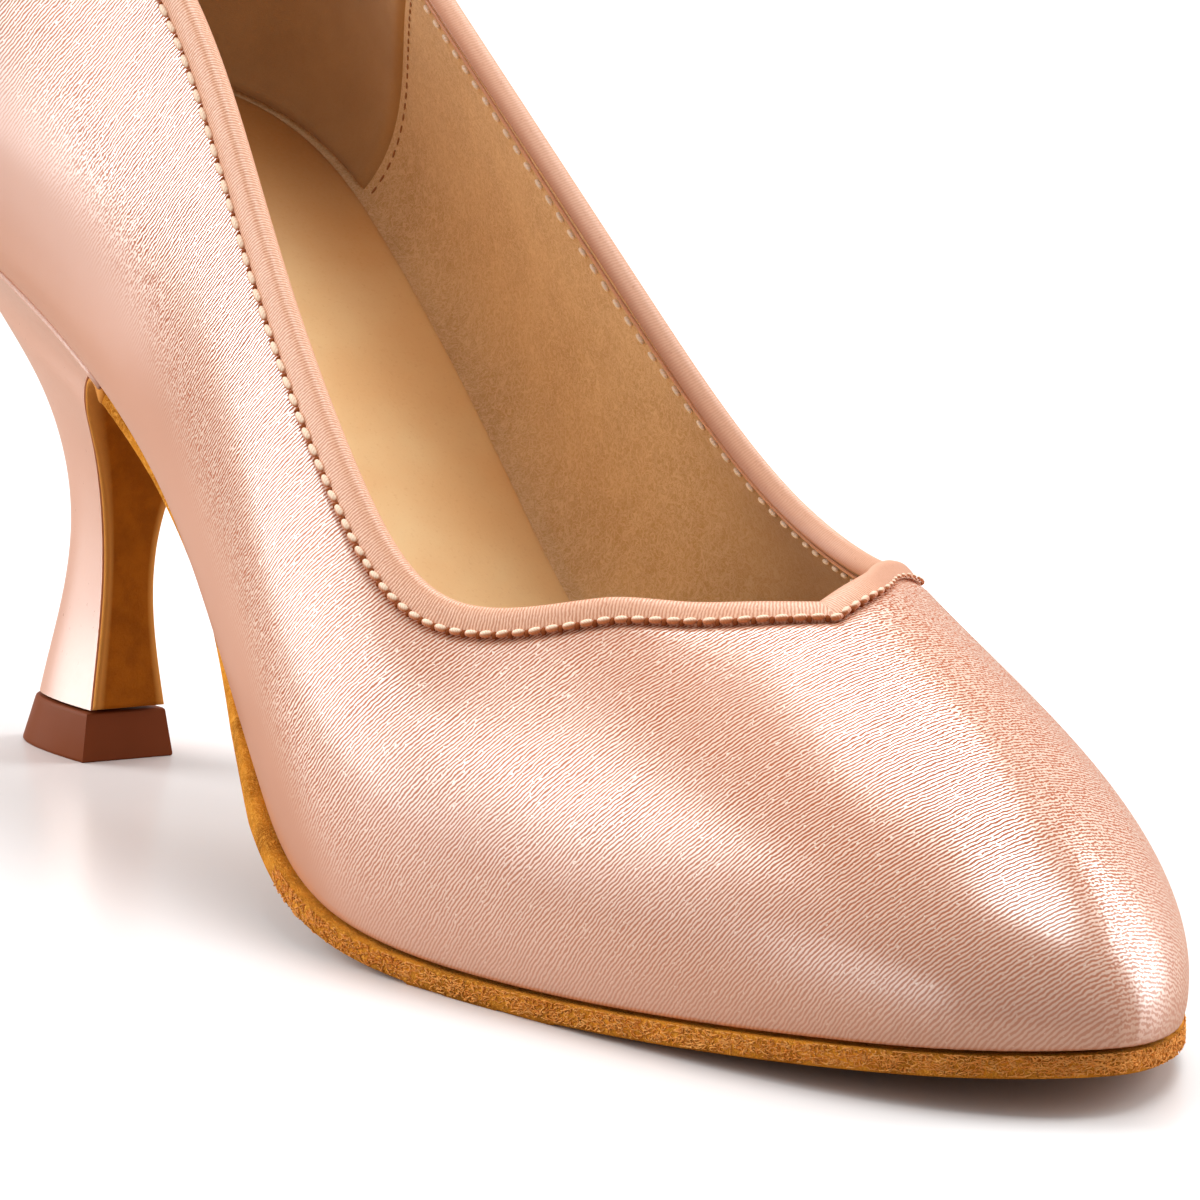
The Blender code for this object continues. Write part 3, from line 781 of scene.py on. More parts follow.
# %% [markdown]
# ## The satin upper
#
# The real upper is one cut of satin, pulled over the last and glued under it. Here it is
# a thin closed shell: rows up the outside of the wall, over a hidden top edge, and down
# just behind. Its bottom edge is rolled under, as lasted cloth is, and it dips where the
# binding's stitches pull it in.


# %% Helpers for shells on the wall
def paint(piece, name, values):
    """A value or a vector for each vertex, which the materials read by name."""
    values = np.asarray(values, np.float32)
    single = values.ndim == 1
    field = piece.data.attributes.new(name, "FLOAT" if single else "FLOAT_VECTOR", "POINT")
    field.data.foreach_set("value" if single else "vector", values.ravel())


def rings_on_wall(places, heights, depths):
    """Rings of points at heights up the wall and depths out of it."""
    return wall(places, heights) + wall_outward(places, heights) * depths[..., None]


def wall_piece(name, rings, material):
    """A closed shell of quads between rings of points, one ring for each place."""
    faces = quads(len(rings), rings.shape[1]).tolist()
    return new_piece(name, rings.reshape(-1, 3), faces, material)


def ease(values, low, high):
    """0 below low, 1 above high, and 3s^2 - 2s^3 between."""
    s = np.clip((values - low) / (high - low), 0.0, 1.0)
    return s * s * (3.0 - 2.0 * s)


# %% Satin upper
COLUMNS = 270
FOOT_ROWS, OUTSIDE_ROWS, INSIDE_ROWS = 6, 58, 10
SATIN = 0.8             # cloth with its stiffener
ROLL = 0.7              # radius of the lasted bottom edge
CLOTH_DOWN = 1.2        # the cut edge below the top of the binding that hides it
STITCH_DOWN = 3.3       # the binding's stitch line below the top,
STITCH_DIP = 0.35       # and how far the stitches pull the cloth in there
PUCKER = 0.10           # small waves low round the toe, where the cloth is gathered,
PUCKER_PITCH = 2.2      # and from wave to wave

places = side_places(COLUMNS)
edge = edge_heights(places)
lean = edge_lean(places)
under = edge - CLOTH_DOWN * lean
turn = np.linspace(np.pi / 2, 0.0, FOOT_ROWS)
foot_heights = ROLL * (1.0 - np.sin(turn))
foot_depths = -ROLL * (1.0 - np.cos(turn))
share = 0.5 - 0.5 * np.cos(np.linspace(0.25, np.pi - 0.2, OUTSIDE_ROWS))
outside = ROLL + (under[:, None] - ROLL) * np.append(share, 1.0)
inside = under[:, None] * np.linspace(1.0, 0.01, INSIDE_ROWS)
ones = np.ones((len(places), 1))
heights = np.concatenate([ones * foot_heights, outside, inside], axis=1)
from_stitches = edge[:, None] - STITCH_DOWN * lean[:, None] - outside
dip = -STITCH_DIP * np.exp(-(from_stitches / 0.6) ** 2)
depths = np.concatenate([ones * foot_depths, dip, np.full_like(inside, -SATIN)], axis=1)
by_toe = np.exp(-((places - TOE) / 42.0) ** 2)[:, None]
waves = np.sin(2 * np.pi * places / PUCKER_PITCH)[:, None] * np.exp(-((heights - 1.6) / 1.5) ** 2)
depths[:, :-INSIDE_ROWS] += (PUCKER * by_toe * waves)[:, :-INSIDE_ROWS]
outward = wall_outward(places, heights)
rings = wall(places, heights) + outward * depths[..., None]
satin_upper = wall_piece("satin_upper", rings, ribbed_satin)

# %% [markdown]
# ### Where the weave shows
#
# The same cloth looks different over the shoe. Steam flattens its ribs low on the sides,
# and over the toe's crown and below the V the pull breaks them into a maze. Three
# materials would meet at hard borders, so one material reads shares that are painted on
# the vertices.

# %% Where the satin is ribbed, plain or mazed
ACROSS_RIBS = np.array([0.73, 0.23, -0.62])     # the ribs slant down towards the toe
PLAIN_UP = 22.0         # the steamed cloth is plain up to here along the sides,
PLAIN_UP_TOE = 1.0      # and up to here round the toe

x, _, z = np.moveaxis(rings, 2, 0)
from_back = np.minimum(places, GIRTH - places)[:, None]
plain_height = PLAIN_UP_TOE + (PLAIN_UP - PLAIN_UP_TOE) * (1.0 - ease(from_back, 150.0, 195.0))
low_toe = ease(from_back, 165.0, 195.0) * (1.0 - ease(heights, 2.0, 26.0))
grain = ease(heights, plain_height - 7.0, plain_height + 8.0) * (1.0 - 0.45 * low_toe)
throat = np.exp(-((x - 176.0) / 15.0) ** 2) * ease(z, 30.0, 38.0)
crown = ease(outward[..., 1], -0.25, 0.15) * ease(x, 160.0, 185.0)
# A band of maze follows the border of the plain cloth along the sides.
border = np.exp(-((heights - plain_height - 3.0) / 6.0) ** 2) * ease(from_back, 70.0, 95.0)
border = border * (1.0 - ease(from_back, 165.0, 200.0))
paint(satin_upper, "across", (rings @ ACROSS_RIBS).ravel())
paint(satin_upper, "grain", grain.ravel())
paint(satin_upper, "maze", (0.15 + 0.12 * throat + 0.32 * crown + 0.30 * border).ravel())
finish(satin_upper, "upper")
stretched_sheet(satin_upper, 0.20, 0.29, "insole", "outsole")

# %% [markdown]
# ## The lining
#
# Inside the satin is a soft microfibre lining, turned in under the sock's edge. It could
# be the satin's own inner face, but a piece of its own gets its own colour, thickness and
# nap, and leaves the seam at the sock where it really is.

# %% Lining
LINING_IN = 1.8         # its face inside the satin's: the wall's full thickness
BEHIND_SATIN = 0.05     # room between the lining's back and the satin
LINING_DOWN = 1.0       # its top edge below the top of the binding
# The margin is turned in under the sock: how far in from the featherline, and up.
MARGIN = np.array([[2.6, 1.5], [5.0, 1.3], [5.0, 0.5], [1.2, 0.4]])

top = (edge - LINING_DOWN * lean)[:, None]
hidden = top * np.linspace(0.02, 1.0, 8)
seen = top * np.linspace(1.0, 0.02, 46)
heights = np.concatenate([hidden, seen], axis=1)
depths = np.concatenate([np.full_like(hidden, -SATIN - BEHIND_SATIN),
                         np.full_like(seen, -LINING_IN)], axis=1)
rings = rings_on_wall(places, heights, depths)
inward = -plan_outward(feather, places)[:, None]
margin = feather(places)[:, None] + inward * MARGIN[:, :1] + UP * MARGIN[:, 1:]
rings = np.concatenate([rings, margin], axis=1)
lining = wall_piece("lining", rings, lining_cloth)
finish(lining, "upper")
stretched_sheet(lining, 0.20, 0.29, "insole")

# %% [markdown]
# ## The topline binding
#
# A strip of the same satin is folded over the cut edge and stitched through. A bevelled
# tube would do, but the fold has a fat outer lip, a flat inner side and a hard line where
# the stitches bite, so its section is drawn as a short table and swept along the edge.

# %% Binding
# Section of the strip: millimetres down from the edge, and out from the wall's face.
FOLD = np.array([
    [3.40, 0.00], [3.35, 0.14], [3.05, 0.30], [2.50, 0.48], [1.75, 0.64], [1.00, 0.66],
    [0.42, 0.46], [0.08, 0.02], [-0.05, -0.60], [0.05, -1.20], [0.35, -1.80], [0.85, -2.25],
    [1.35, -2.45], [1.80, -2.32], [2.12, -2.02], [2.25, -1.60], [2.40, -1.10], [3.00, -0.80],
])
FOLD_STEPS = 34
OUTER_FACE = 7          # the step that lies on the strip's outer face
# The strip is pulled in on the medial side.
SLIM_MEDIAL = 0.70      # share by which it stands out less there,
LOW_MEDIAL = 0.55       # millimetres that its top lies lower,
SHORT_MEDIAL = 0.60     # share by which less is turned in,
FAINT_MEDIAL = 0.65     # and share by which its ribs are fainter

knots = np.arange(float(len(FOLD)))
steps = np.linspace(0.0, len(FOLD), FOLD_STEPS, endpoint=False)
down, out = closed_spline(knots, FOLD, float(len(FOLD)))(steps).T
places = side_places(2 * COLUMNS)
edge = edge_heights(places)[:, None]
lean = edge_lean(places)[:, None]
medial = ease(places, TOE + 2.0, TOE + 20.0) * (1.0 - ease(places, GIRTH - 40.0, GIRTH - 6.0))
medial = medial[:, None]
inner_side = (np.arange(FOLD_STEPS) > np.argmin(down)) * (down > 0.0)
lower = down * (1.0 - SHORT_MEDIAL * medial * inner_side)
lower = lower + LOW_MEDIAL * medial * np.clip(1.0 - down / FOLD[0, 0], 0.0, 1.0)
slim = 1.0 - SLIM_MEDIAL * medial * (out > 0.0)
rings = rings_on_wall(places, edge - lower * lean, out * slim)
binding = wall_piece("binding", rings, strip_satin)

# %% Ribs and painted shade of the binding
outer_line = rings[:, OUTER_FACE]
run = running(outer_line)
ahead = unit(np.roll(outer_line, -1, axis=0) - np.roll(outer_line, 1, axis=0))
offset = np.einsum("prk,pk->pr", rings - outer_line[:, None], ahead)
# painted shade on the medial side: deep on the turned-in face, lighter down the outer face
shade = 0.75 * ease(-out, 0.9, 2.4) + 0.35 * ease(down, 0.2, 1.4) * (out > 0.0)
paint(binding, "across", (run[:, None] + offset).ravel())
paint(binding, "grain", np.repeat(1.0 - FAINT_MEDIAL * medial, FOLD_STEPS))
paint(binding, "turned_in_shade", (medial * shade).ravel())
finish(binding, "topline_binding")
print("topline", round(run[-1] + np.linalg.norm(outer_line[0] - outer_line[-1]), 1), "mm round")

# %% [markdown]
# ## The stitches
#
# One thick row of thread runs along the binding's lower side. Each stitch is a short fat
# capsule that dives into a needle hole at both ends. There are some two hundred, so one
# small capsule is copied along the seam with arrays and joined into a single mesh. The
# holes are small dark capsules of painted shade.


# %% Helpers for rows of small things
def capsule(length, thick, high, steps=9, round_steps=8):
    """Points and faces of a capsule along X, with closed ends: it runs as -cos(turn) and
    is as thick as sin(turn) to the power 0.7."""
    turn = np.linspace(0.0, np.pi, steps)
    radius = np.sin(turn) ** 0.7
    radius[[0, -1]] = 0.0
    spin = np.linspace(0.0, 2 * np.pi, round_steps, endpoint=False)
    body = np.stack([
        np.repeat(-length / 2 * np.cos(turn)[1:-1], round_steps),
        (radius[1:-1, None] * np.cos(spin) * thick / 2).ravel(),
        (radius[1:-1, None] * np.sin(spin) * high / 2).ravel()], axis=1)
    ends = np.array([[-length / 2, 0, 0], [length / 2, 0, 0]])
    faces = quads(steps - 2, round_steps, closed_band=False).tolist()
    last = (steps - 3) * round_steps
    first_end, last_end = len(body), len(body) + 1
    for j in range(round_steps):
        k = (j + 1) % round_steps
        faces.append([first_end, j, k])
        faces.append([last_end, last + k, last + j])
    return np.concatenate([body, ends]), faces


def stitch_pitch(x):
    """Millimetres from stitch to stitch: long on the quarters, shorter round the throat."""
    return 2.5 - 0.7 * ease(x, 118.0, 150.0)


def seam_frames(down, depth, first=0.0, near=0.3):
    """Points one stitch apart along a line below the edge, the direction of the seam there
    and the direction out of the wall. The line's length is counted in stitches, by the sum
    of step / pitch, and the first stitch starts at the given share of one."""
    fine = np.linspace(0.0, GIRTH, 4000, endpoint=False)
    heights = (edge_heights(fine) - down * edge_lean(fine))[:, None]
    line = rings_on_wall(fine, heights, np.full_like(heights, depth))[:, 0]
    out = wall_outward(fine, heights)[:, 0]
    line, out = (np.vstack([ring, ring[:1]]) for ring in (line, out))
    run = running(line)
    counted = np.append(0.0, np.cumsum(np.diff(run) / stitch_pitch(line[:-1, 0])))
    count = int(round(counted[-1]))
    at = np.interp((np.arange(count) + first) * counted[-1] / count, counted, run)
    along = unit(at_lengths(at + near, run, line) - at_lengths(at - near, run, line))
    outward = unit(at_lengths(at, run, out))
    outward = unit(outward - along * np.sum(outward * along, axis=1, keepdims=True))
    return at_lengths(at, run, line), along, outward


def axes_of(along, outward):
    """Three unit vectors for each copy: along, across and outward."""
    return np.stack([along, np.cross(outward, along), outward], axis=1)


def smaller_medially(where, by=0.45):
    """1 on the lateral side, less by a share on the medial side, where the thread is
    pulled in."""
    return (1.0 - by * ease(where[:, 1], 2.0, 12.0))[:, None, None]


def copies(name, shape, faces, where, axes, material):
    """One mesh of copies of a small shape: where + x along + y across + z outward."""
    points = where[:, None, :] + np.einsum("vk,nkd->nvd", shape, axes)
    size = len(shape)
    all_faces = [[i + size * n for i in face] for n in range(len(where)) for face in faces]
    return new_piece(name, points.reshape(-1, 3), all_faces, material)


# %% Binding stitches, and painted shade in their needle holes
random = np.random.default_rng(4)
STITCH = (1.38, 0.80, 0.70)     # length, thickness and height, at the throat
HOLE = (0.58, 0.90, 0.66)       # the same for the dark capsule of painted shade in a hole


def stitch_row(name, down, depth, size, slant, material):
    """A row of thread capsules below the edge, each a little out of true, and longer
    where the stitches are longer. A row on the outside is smaller on the medial side."""
    where, along_seam, outward = seam_frames(down, depth)
    tilt = random.normal(slant, 0.05, len(where))[:, None]
    lie = unit(along_seam * np.cos(tilt) + np.cross(outward, along_seam) * np.sin(tilt))
    where = where + along_seam * random.normal(0.0, 0.04, (len(where), 1))
    shape, faces = capsule(*size)
    axes = axes_of(lie, outward)
    axes[:, 0] *= stitch_pitch(where[:, :1]) / stitch_pitch(LENGTH)
    if depth > 0.0:
        axes = axes * smaller_medially(where)
    row = copies(name, shape, faces, where, axes, material)
    paint(row, "stitch", np.tile(shape, (len(where), 1)))
    finish(row, "topline_binding")
    print(len(where), "stitches")


stitch_row("binding_stitches", 3.32, 0.36, STITCH, 0.08, thread)

# painted shade: a small dark capsule at each needle hole, between the stitches
where, along_seam, outward = seam_frames(3.36, 0.16, first=0.5)
shape, faces = capsule(*HOLE, steps=7)
axes = axes_of(along_seam, outward) * smaller_medially(where, 0.75)
hole_shades = copies("hole_shades", shape, faces, where, axes, hole_shade)
finish(hole_shades, "topline_binding")

# %% [markdown]
# ## Inside the topline
#
# On the inner side the strip ends in a thin turned lip, and the thread comes out under it
# as a row of small flat dashes on the lining.

# %% Inner lip and its dashes
LIP_DOWN = 3.00         # below the top of the binding
LIP_RADIUS = 0.20
LIP_OUT = 0.12          # its middle, clear of the lining's face
LIP_GRAIN = 0.2         # its ribs are faint
DASH = (1.00, 0.50, 0.54)
DASH_DOWN = 4.10
DASH_OUT = 0.20

places = side_places(COLUMNS)
spin = np.linspace(0.0, 2 * np.pi, 8, endpoint=False)
down = LIP_DOWN + LIP_RADIUS * 1.3 * np.cos(spin)
heights = edge_heights(places)[:, None] - down * edge_lean(places)[:, None]
depths = np.broadcast_to(-LINING_IN - LIP_OUT - LIP_RADIUS * np.sin(spin), heights.shape)
rings = rings_on_wall(places, heights, depths)
inner_lip = wall_piece("inner_lip", rings, strip_satin)
paint(inner_lip, "across", np.repeat(running(rings[:, 0]), len(spin)))
paint(inner_lip, "grain", np.full(heights.size, LIP_GRAIN))
finish(inner_lip, "topline_binding")

stitch_row("lining_stitches", DASH_DOWN, -LINING_IN - DASH_OUT, DASH, 0.0, pale_thread)

# %% [markdown]
# ## The heel grip
#
# The back of the lining is a second piece of smoother suede, which keeps the heel from
# slipping. Its front edge curves down the quarter to the sock, with a thin folded rim
# and a row of brown stitches just ahead of it.

# %% Heel grip
GRIP_ROWS, GRIP_COLUMNS = 40, 90
GRIP_THICK = 0.45
GRIP_ROUND = 0.8        # width over which its edge is rounded off
GRIP_RIM = 0.14         # how far the folded rim stands up
GRIP_SUNK = 0.25        # its back, hidden in the lining


def grip_front(share):
    """Millimetres along the featherline from the heel back to the grip's edge, by the
    share of the height up the wall: 59.6 + 8 share + 17 share^2."""
    return 59.6 + 8.0 * share + 17.0 * share ** 2


def scattered(places, shares, depths):
    """Points each at its own place, its share of the height up to the lip, and its depth."""
    places, shares, depths = np.broadcast_arrays(places, shares, depths)
    flat = places.ravel()
    heights = (edge_heights(flat) - LIP_DOWN * edge_lean(flat)) * shares.ravel()
    points = rings_on_wall(flat, heights[:, None], depths.reshape(-1, 1))
    return points.reshape(places.shape + (3,))


share = np.linspace(0.03, 0.98, GRIP_ROWS)[:, None]
reach = np.linspace(-1.0, 1.0, GRIP_COLUMNS)
places = grip_front(share) * reach
from_edge = grip_front(share) * (1.0 - np.abs(reach))
thick = GRIP_THICK * (1.0 - np.clip(1.0 - from_edge / GRIP_ROUND, 0.0, 1.0) ** 2)
rim = GRIP_RIM * np.exp(-((from_edge - 1.1) / 0.5) ** 2)
face = scattered(places, share, -LINING_IN - 0.02 - thick - rim)
back = scattered(places, share, -LINING_IN + GRIP_SUNK)
size = GRIP_ROWS * GRIP_COLUMNS
face_quads = quads(GRIP_ROWS, GRIP_COLUMNS, closed_rings=False, closed_band=False)
grid = np.arange(size).reshape(GRIP_ROWS, GRIP_COLUMNS)
border = np.concatenate([grid[0], grid[1:, -1], grid[-1, -2::-1], grid[-2:0:-1, 0]])
after = np.roll(border, -1)
sides = np.stack([border, after, after + size, border + size], axis=1)
faces = np.concatenate([face_quads, face_quads[:, ::-1] + size, sides]).tolist()
heel_grip = new_piece("heel_grip", np.concatenate([face, back]).reshape(-1, 3), faces, grip_suede)
finish(heel_grip, "upper")
stretched_sheet(heel_grip, 0.07, 0.13, "lining")

# %% Stitches ahead of the grip
GRIP_STITCH = (0.95, 0.36, 0.20)
GRIP_STITCH_PITCH = 1.55
GRIP_STITCH_AHEAD = 1.5         # of the grip's edge

share = np.linspace(0.04, 0.97, 400)
rows = []
for side in (-1, 1):
    places = side * (grip_front(share) + GRIP_STITCH_AHEAD)
    line = scattered(places, share, -LINING_IN - 0.05)
    inner = scattered(places, share, -LINING_IN - 1.05)
    run = running(line)
    at = np.arange(0.5, run[-1], GRIP_STITCH_PITCH)
    where = at_lengths(at, run, line)
    ahead = unit(at_lengths(at + 0.3, run, line) - where)
    rows.append((where, axes_of(ahead, unit(at_lengths(at, run, inner) - where))))
where, axes = (np.concatenate(both) for both in zip(*rows))
shape, faces = capsule(*GRIP_STITCH)
grip_stitches = copies("grip_stitches", shape, faces, where, axes, brown_thread)
paint(grip_stitches, "stitch", np.tile(shape, (len(where), 1)))
finish(grip_stitches, "upper")

# %% [markdown]
# ## The sock
#
# The insole board carries a smooth leather sock. It is a plate that follows the curve of
# the last's bottom, level across at its edge and dished a little where the foot sits.


# %% Helpers for plates under the foot
def bottom_height(x):
    """Height of the featherline, the mean of both sides, so that plates lie level across."""
    sides = [feather(np.linspace(TOE, end, 1200))[::-1] for end in (0.0, GIRTH)]
    return sum(np.interp(x, side[:, 0], side[:, 2]) for side in sides) / 2


def side_of(outline, side, x):
    """An outline's points on one side of the middle line, at the given x."""
    half = outline[outline[:, 1] * side >= 0.0]
    half = half[np.argsort(half[:, 0])]
    return np.column_stack([x, np.interp(x, half[:, 0], half[:, 1]), bottom_height(x)])


def flat_end(first, size):
    """One flat face that closes a ring of points."""
    return [list(range(first, first + size))]


def lofted(name, rings, material, end=flat_end):
    """A closed solid through rings of points, with an end over the first and the last."""
    count, size = rings.shape[:2]
    faces = quads(count, size, closed_band=False).tolist()
    faces += end(0, size) + end((count - 1) * size, size)
    return new_piece(name, rings.reshape(-1, 3), faces, material)


# %% Sock
SOCK = 2.0              # thickness of the board with its leather
SOCK_INSET = 1.9        # from the featherline to the sock's edge
SOCK_ROUND = 0.35       # drop of the rounded edge
SOCK_DISH = 0.5         # and of the dished middle
SOCK_LONG, SOCK_ACROSS = 260, 25
SOCK_TIP = 0.03         # keeps the end rings from closing to a point

places = np.linspace(0.0, GIRTH, 1400, endpoint=False)
outline = feather(places) - plan_outward(feather, places) * SOCK_INSET
start_x, end_x = outline[:, 0].min() + SOCK_TIP, outline[:, 0].max() - SOCK_TIP
x = start_x + (end_x - start_x) * (1.0 - np.cos(np.linspace(0.0, np.pi, SOCK_LONG))) / 2
left, right = (side_of(outline, side, x) for side in (-1, 1))
share = (1.0 - np.cos(np.linspace(0.0, np.pi, SOCK_ACROSS))) / 2
top = left[:, None, :] + (right - left)[:, None, :] * share[None, :, None]
width = np.abs(right[:, 1] - left[:, 1])[:, None]
to_end = np.minimum(x - start_x, end_x - x)[:, None]
to_edge = np.minimum(width * np.minimum(share, 1.0 - share), to_end)
top[:, :, 2] += (SOCK - SOCK_ROUND * np.clip(1.0 - to_edge / 0.6, 0.0, 1.0) ** 2
                 - SOCK_DISH * ease(to_edge, 2.0, 18.0))
below = np.stack([right, left], axis=1)
sock = lofted("sock", np.concatenate([top, below], axis=1), sock_leather)
finish(sock, "insole")

# %% [markdown]
# ## The heel
#
# A moulded heel is covered in smooth satin, so it has no seam but the one at its seat. The
# section runs from the small D of the top piece to the outline of the seat; a short table
# of sections and a smooth curve through them give every ring between.

# %% The heel's sections
# Step, from 0 at the top piece to 1 at the seat; height of the front and of the back;
# where the front and the back lie, and half the width, all in millimetres; and blend, from
# 0 for a D to 1 for the outline of the seat.
HEEL = np.array([
    [0.00, 5.5, 5.5, 50.0, 36.4, 4.6, 0.00],
    [0.12, 12.0, 12.3, 48.6, 37.1, 3.6, 0.00],
    [0.27, 20.0, 21.0, 47.6, 38.1, 3.1, 0.00],
    [0.41, 27.5, 30.0, 47.6, 37.0, 4.1, 0.05],
    [0.55, 34.0, 40.0, 49.0, 32.0, 6.8, 0.20],
    [0.70, 39.0, 50.0, 51.5, 23.2, 10.7, 0.45],
    [0.85, 42.5, 59.0, 54.7, 13.2, 14.0, 0.75],
])
HEEL_FRONT = 50.0
HEEL_TURN = np.radians(7.0)     # the top piece is turned a little to the heel's line,
HEEL_SHIFT = -2.3               # and stands this far to the lateral side
D_POWER = 2.4                   # roundness of the D: 2 is an ellipse, more is squarer
HEEL_SIDE = 40                  # points on each side of a ring
BREAST_TOP = 73.0               # where the heel's front meets the sole
GAP = 0.3                       # room for glue and cloth between the pieces


# %% One ring of the heel
def half_section(front, back, half_width):
    """One side of a D from its front corner round to the middle of the back: half of a
    superellipse, with sine and cosine to the power 2 / D_POWER."""
    turn = np.linspace(0.0, np.pi / 2, HEEL_SIDE)
    x = front - (front - back) * np.sin(turn) ** (2 / D_POWER)
    return np.column_stack([x, half_width * np.cos(turn) ** (2 / D_POWER)])


def turn_about(points, x, angle, shift):
    """Points turned about an upright line through x on the middle line, then shifted."""
    away = points[..., 0] - x
    c, s = np.cos(angle), np.sin(angle)
    return np.stack([x + c * away - s * points[..., 1], shift + s * away + c * points[..., 1],
                     points[..., 2]], axis=-1)


def seat_sides():
    """The featherline round the heel seat: each side from the lip back to the heel back."""
    sides = []
    for end in (0.0, GIRTH):
        half = feather(np.linspace(TOE, end, 1200))
        half = half[half[:, 0] <= BREAST_TOP]
        run = running(half)
        sides.append(at_lengths(np.linspace(0.0, run[-1], HEEL_SIDE), run, half))
    return sides


def heel_ring(row, seats, settle):
    """One ring of the heel, from the lateral breast corner round the back: the D and the
    seat's outline mixed by blend, then turned and shifted by the share settle."""
    _, front_up, back_up, front, rear, half_width, blend = row
    section = half_section(0.0, -1.0, 1.0)
    sides = []
    for seat, side in zip(seats, (-1, 1)):
        seat_back = (seat[0, 0] - seat[:, 0]) / (seat[0, 0] - seat[-1, 0])
        seat_out = np.abs(seat[:, 1]) / np.abs(seat[:, 1]).max()
        back = (1 - blend) * -section[:, 0] + blend * seat_back
        out = (1 - blend) * section[:, 1] + blend * seat_out
        sides.append(np.column_stack([front - (front - rear) * back, side * half_width * out,
                                      front_up + (back_up - front_up) * back]))
    ring = np.concatenate([sides[0], sides[1][-2::-1]])
    return turn_about(ring, front, HEEL_TURN * settle, HEEL_SHIFT * settle)


# %% From the few sections to every ring
def open_spline(knots, values, places):
    """A cubic with no break in slope or bend through values at knots, whose first and last
    two spans are each one cubic."""
    count = len(knots)
    step = np.diff(knots)
    flat = values.reshape(count, -1)
    slope = np.diff(flat, axis=0) / step[:, None]
    system = np.zeros((count, count))
    right = np.zeros_like(flat)
    for i in range(1, count - 1):
        system[i, i - 1:i + 2] = step[i - 1], 2 * (step[i - 1] + step[i]), step[i]
        right[i] = 6 * (slope[i] - slope[i - 1])
    system[0, :3] = step[1], -(step[0] + step[1]), step[0]
    system[-1, -3:] = step[-1], -(step[-2] + step[-1]), step[-2]
    curl = np.linalg.solve(system, right)
    i = np.clip(np.searchsorted(knots, places, side="right") - 1, 0, count - 2)
    h = step[i][:, None]
    b = (places - knots[i])[:, None] / h
    a = 1 - b
    bow = ((a ** 3 - a) * curl[i] + (b ** 3 - b) * curl[i + 1]) * h ** 2 / 6
    return (a * flat[i] + b * flat[i + 1] + bow).reshape((len(places),) + values.shape[1:])


def heel_rings(count):
    """Rings of the heel from the top piece up to the seat."""
    seats = seat_sides()
    settle = 1.0 - np.arange(len(HEEL)) / len(HEEL)
    rings = [heel_ring(row, seats, share) for row, share in zip(HEEL, settle)]
    seat_ring = np.concatenate([seats[0], seats[1][-2::-1]])
    seat_ring[:, 2] = bottom_height(seat_ring[:, 0]) - GAP
    knots = np.append(HEEL[:, 0], 1.0)
    return open_spline(knots, np.array(rings + [seat_ring]), np.linspace(0.0, 1.0, count))


# %% Heel cover
def strips_across(first, size):
    """An end cap in strips from side to side, so that it follows a curved seat."""
    faces = []
    for k in range((size - 1) // 2):
        strip = [k, k + 1, size - 2 - k, size - 1 - k]
        if strip[1] == strip[2]:
            strip.pop(2)
        faces.append([first + i for i in strip])
    return faces


rings = heel_rings(110)
heel_cover = lofted("heel_cover", rings, heel_satin, strips_across)
heel_cover.data.set_sharp_from_angle(angle=np.radians(50.0))
finish(heel_cover, "heel")

# %% Roll of satin in the seam between heel and upper
SEAM_RADIUS = 0.42
SEAM_UP, SEAM_IN = 0.15, 0.12   # from the heel's top ring to the roll's middle

line = rings[-1]
way = unit(np.gradient(line, axis=0))
out = unit(np.cross(UP, way))
out = out * np.sign(np.sum(out * (line - line.mean(axis=0)), axis=1))[:, None]
spin = np.linspace(0.0, 2 * np.pi, 12, endpoint=False)[None, :, None]
around = np.cos(spin) * out[:, None] + np.sin(spin) * np.cross(way, out)[:, None]
roll = line[:, None] + UP * SEAM_UP - out[:, None] * SEAM_IN + around * SEAM_RADIUS
heel_seam_roll = lofted("heel_seam_roll", roll, heel_satin)
finish(heel_seam_roll, "heel")

# %% [markdown]
# ## The top piece
#
# The only part of the heel that touches the floor is a plug of hard plastic, a D with its
# flat side to the front, slightly larger at the floor. Its corners are barely broken.

# %% Top piece
# Height, front, back and half width of each section, with a small bevel at both ends.
TOP_PIECE = np.array([
    [0.00, 50.75, 34.55, 5.85], [0.15, 50.88, 34.45, 5.97], [0.40, 50.86, 34.50, 5.97],
    [2.60, 50.55, 35.30, 5.60], [4.80, 50.24, 36.05, 5.25], [5.05, 50.19, 36.18, 5.18],
    [5.20, 50.00, 36.40, 5.00],
])
rings = []
for height, front, back, half_width in TOP_PIECE:
    side = half_section(front, back, half_width)
    ring = np.concatenate([side * (1, -1), side[-2::-1]])
    rings.append(np.column_stack([ring, np.full(len(ring), height)]))
rings = turn_about(np.array(rings), HEEL_FRONT, HEEL_TURN, HEEL_SHIFT)
top_piece = lofted("top_piece", rings, top_plastic, strips_across)
top_piece.data.set_sharp_from_angle(angle=np.radians(40.0))
finish(top_piece, "heel_top_piece")

# %% [markdown]
# ## The suede sole
#
# A dance sole is one strip of chrome suede: under the foot, thin at its edge so that the
# foot feels the floor, then down the front of the heel to the top piece. Its section is
# swept from the toe to the waist and then bent down the heel breast in one go.

# %% The sole's outline and section
# At places from the heel back: how far the sole stands out past the featherline, and its
# thickness.
SOLE_EDGE = np.array([
    [73.0, -0.2, 1.6], [83.0, -0.4, 1.6], [100.0, -0.3, 1.7], [113.0, 0.8, 2.0],
    [126.0, 1.4, 2.2], [142.0, 1.1, 2.2], [165.0, 0.5, 2.2], [215.0, 0.5, 2.2],
    [236.0, -0.6, 2.2],
])
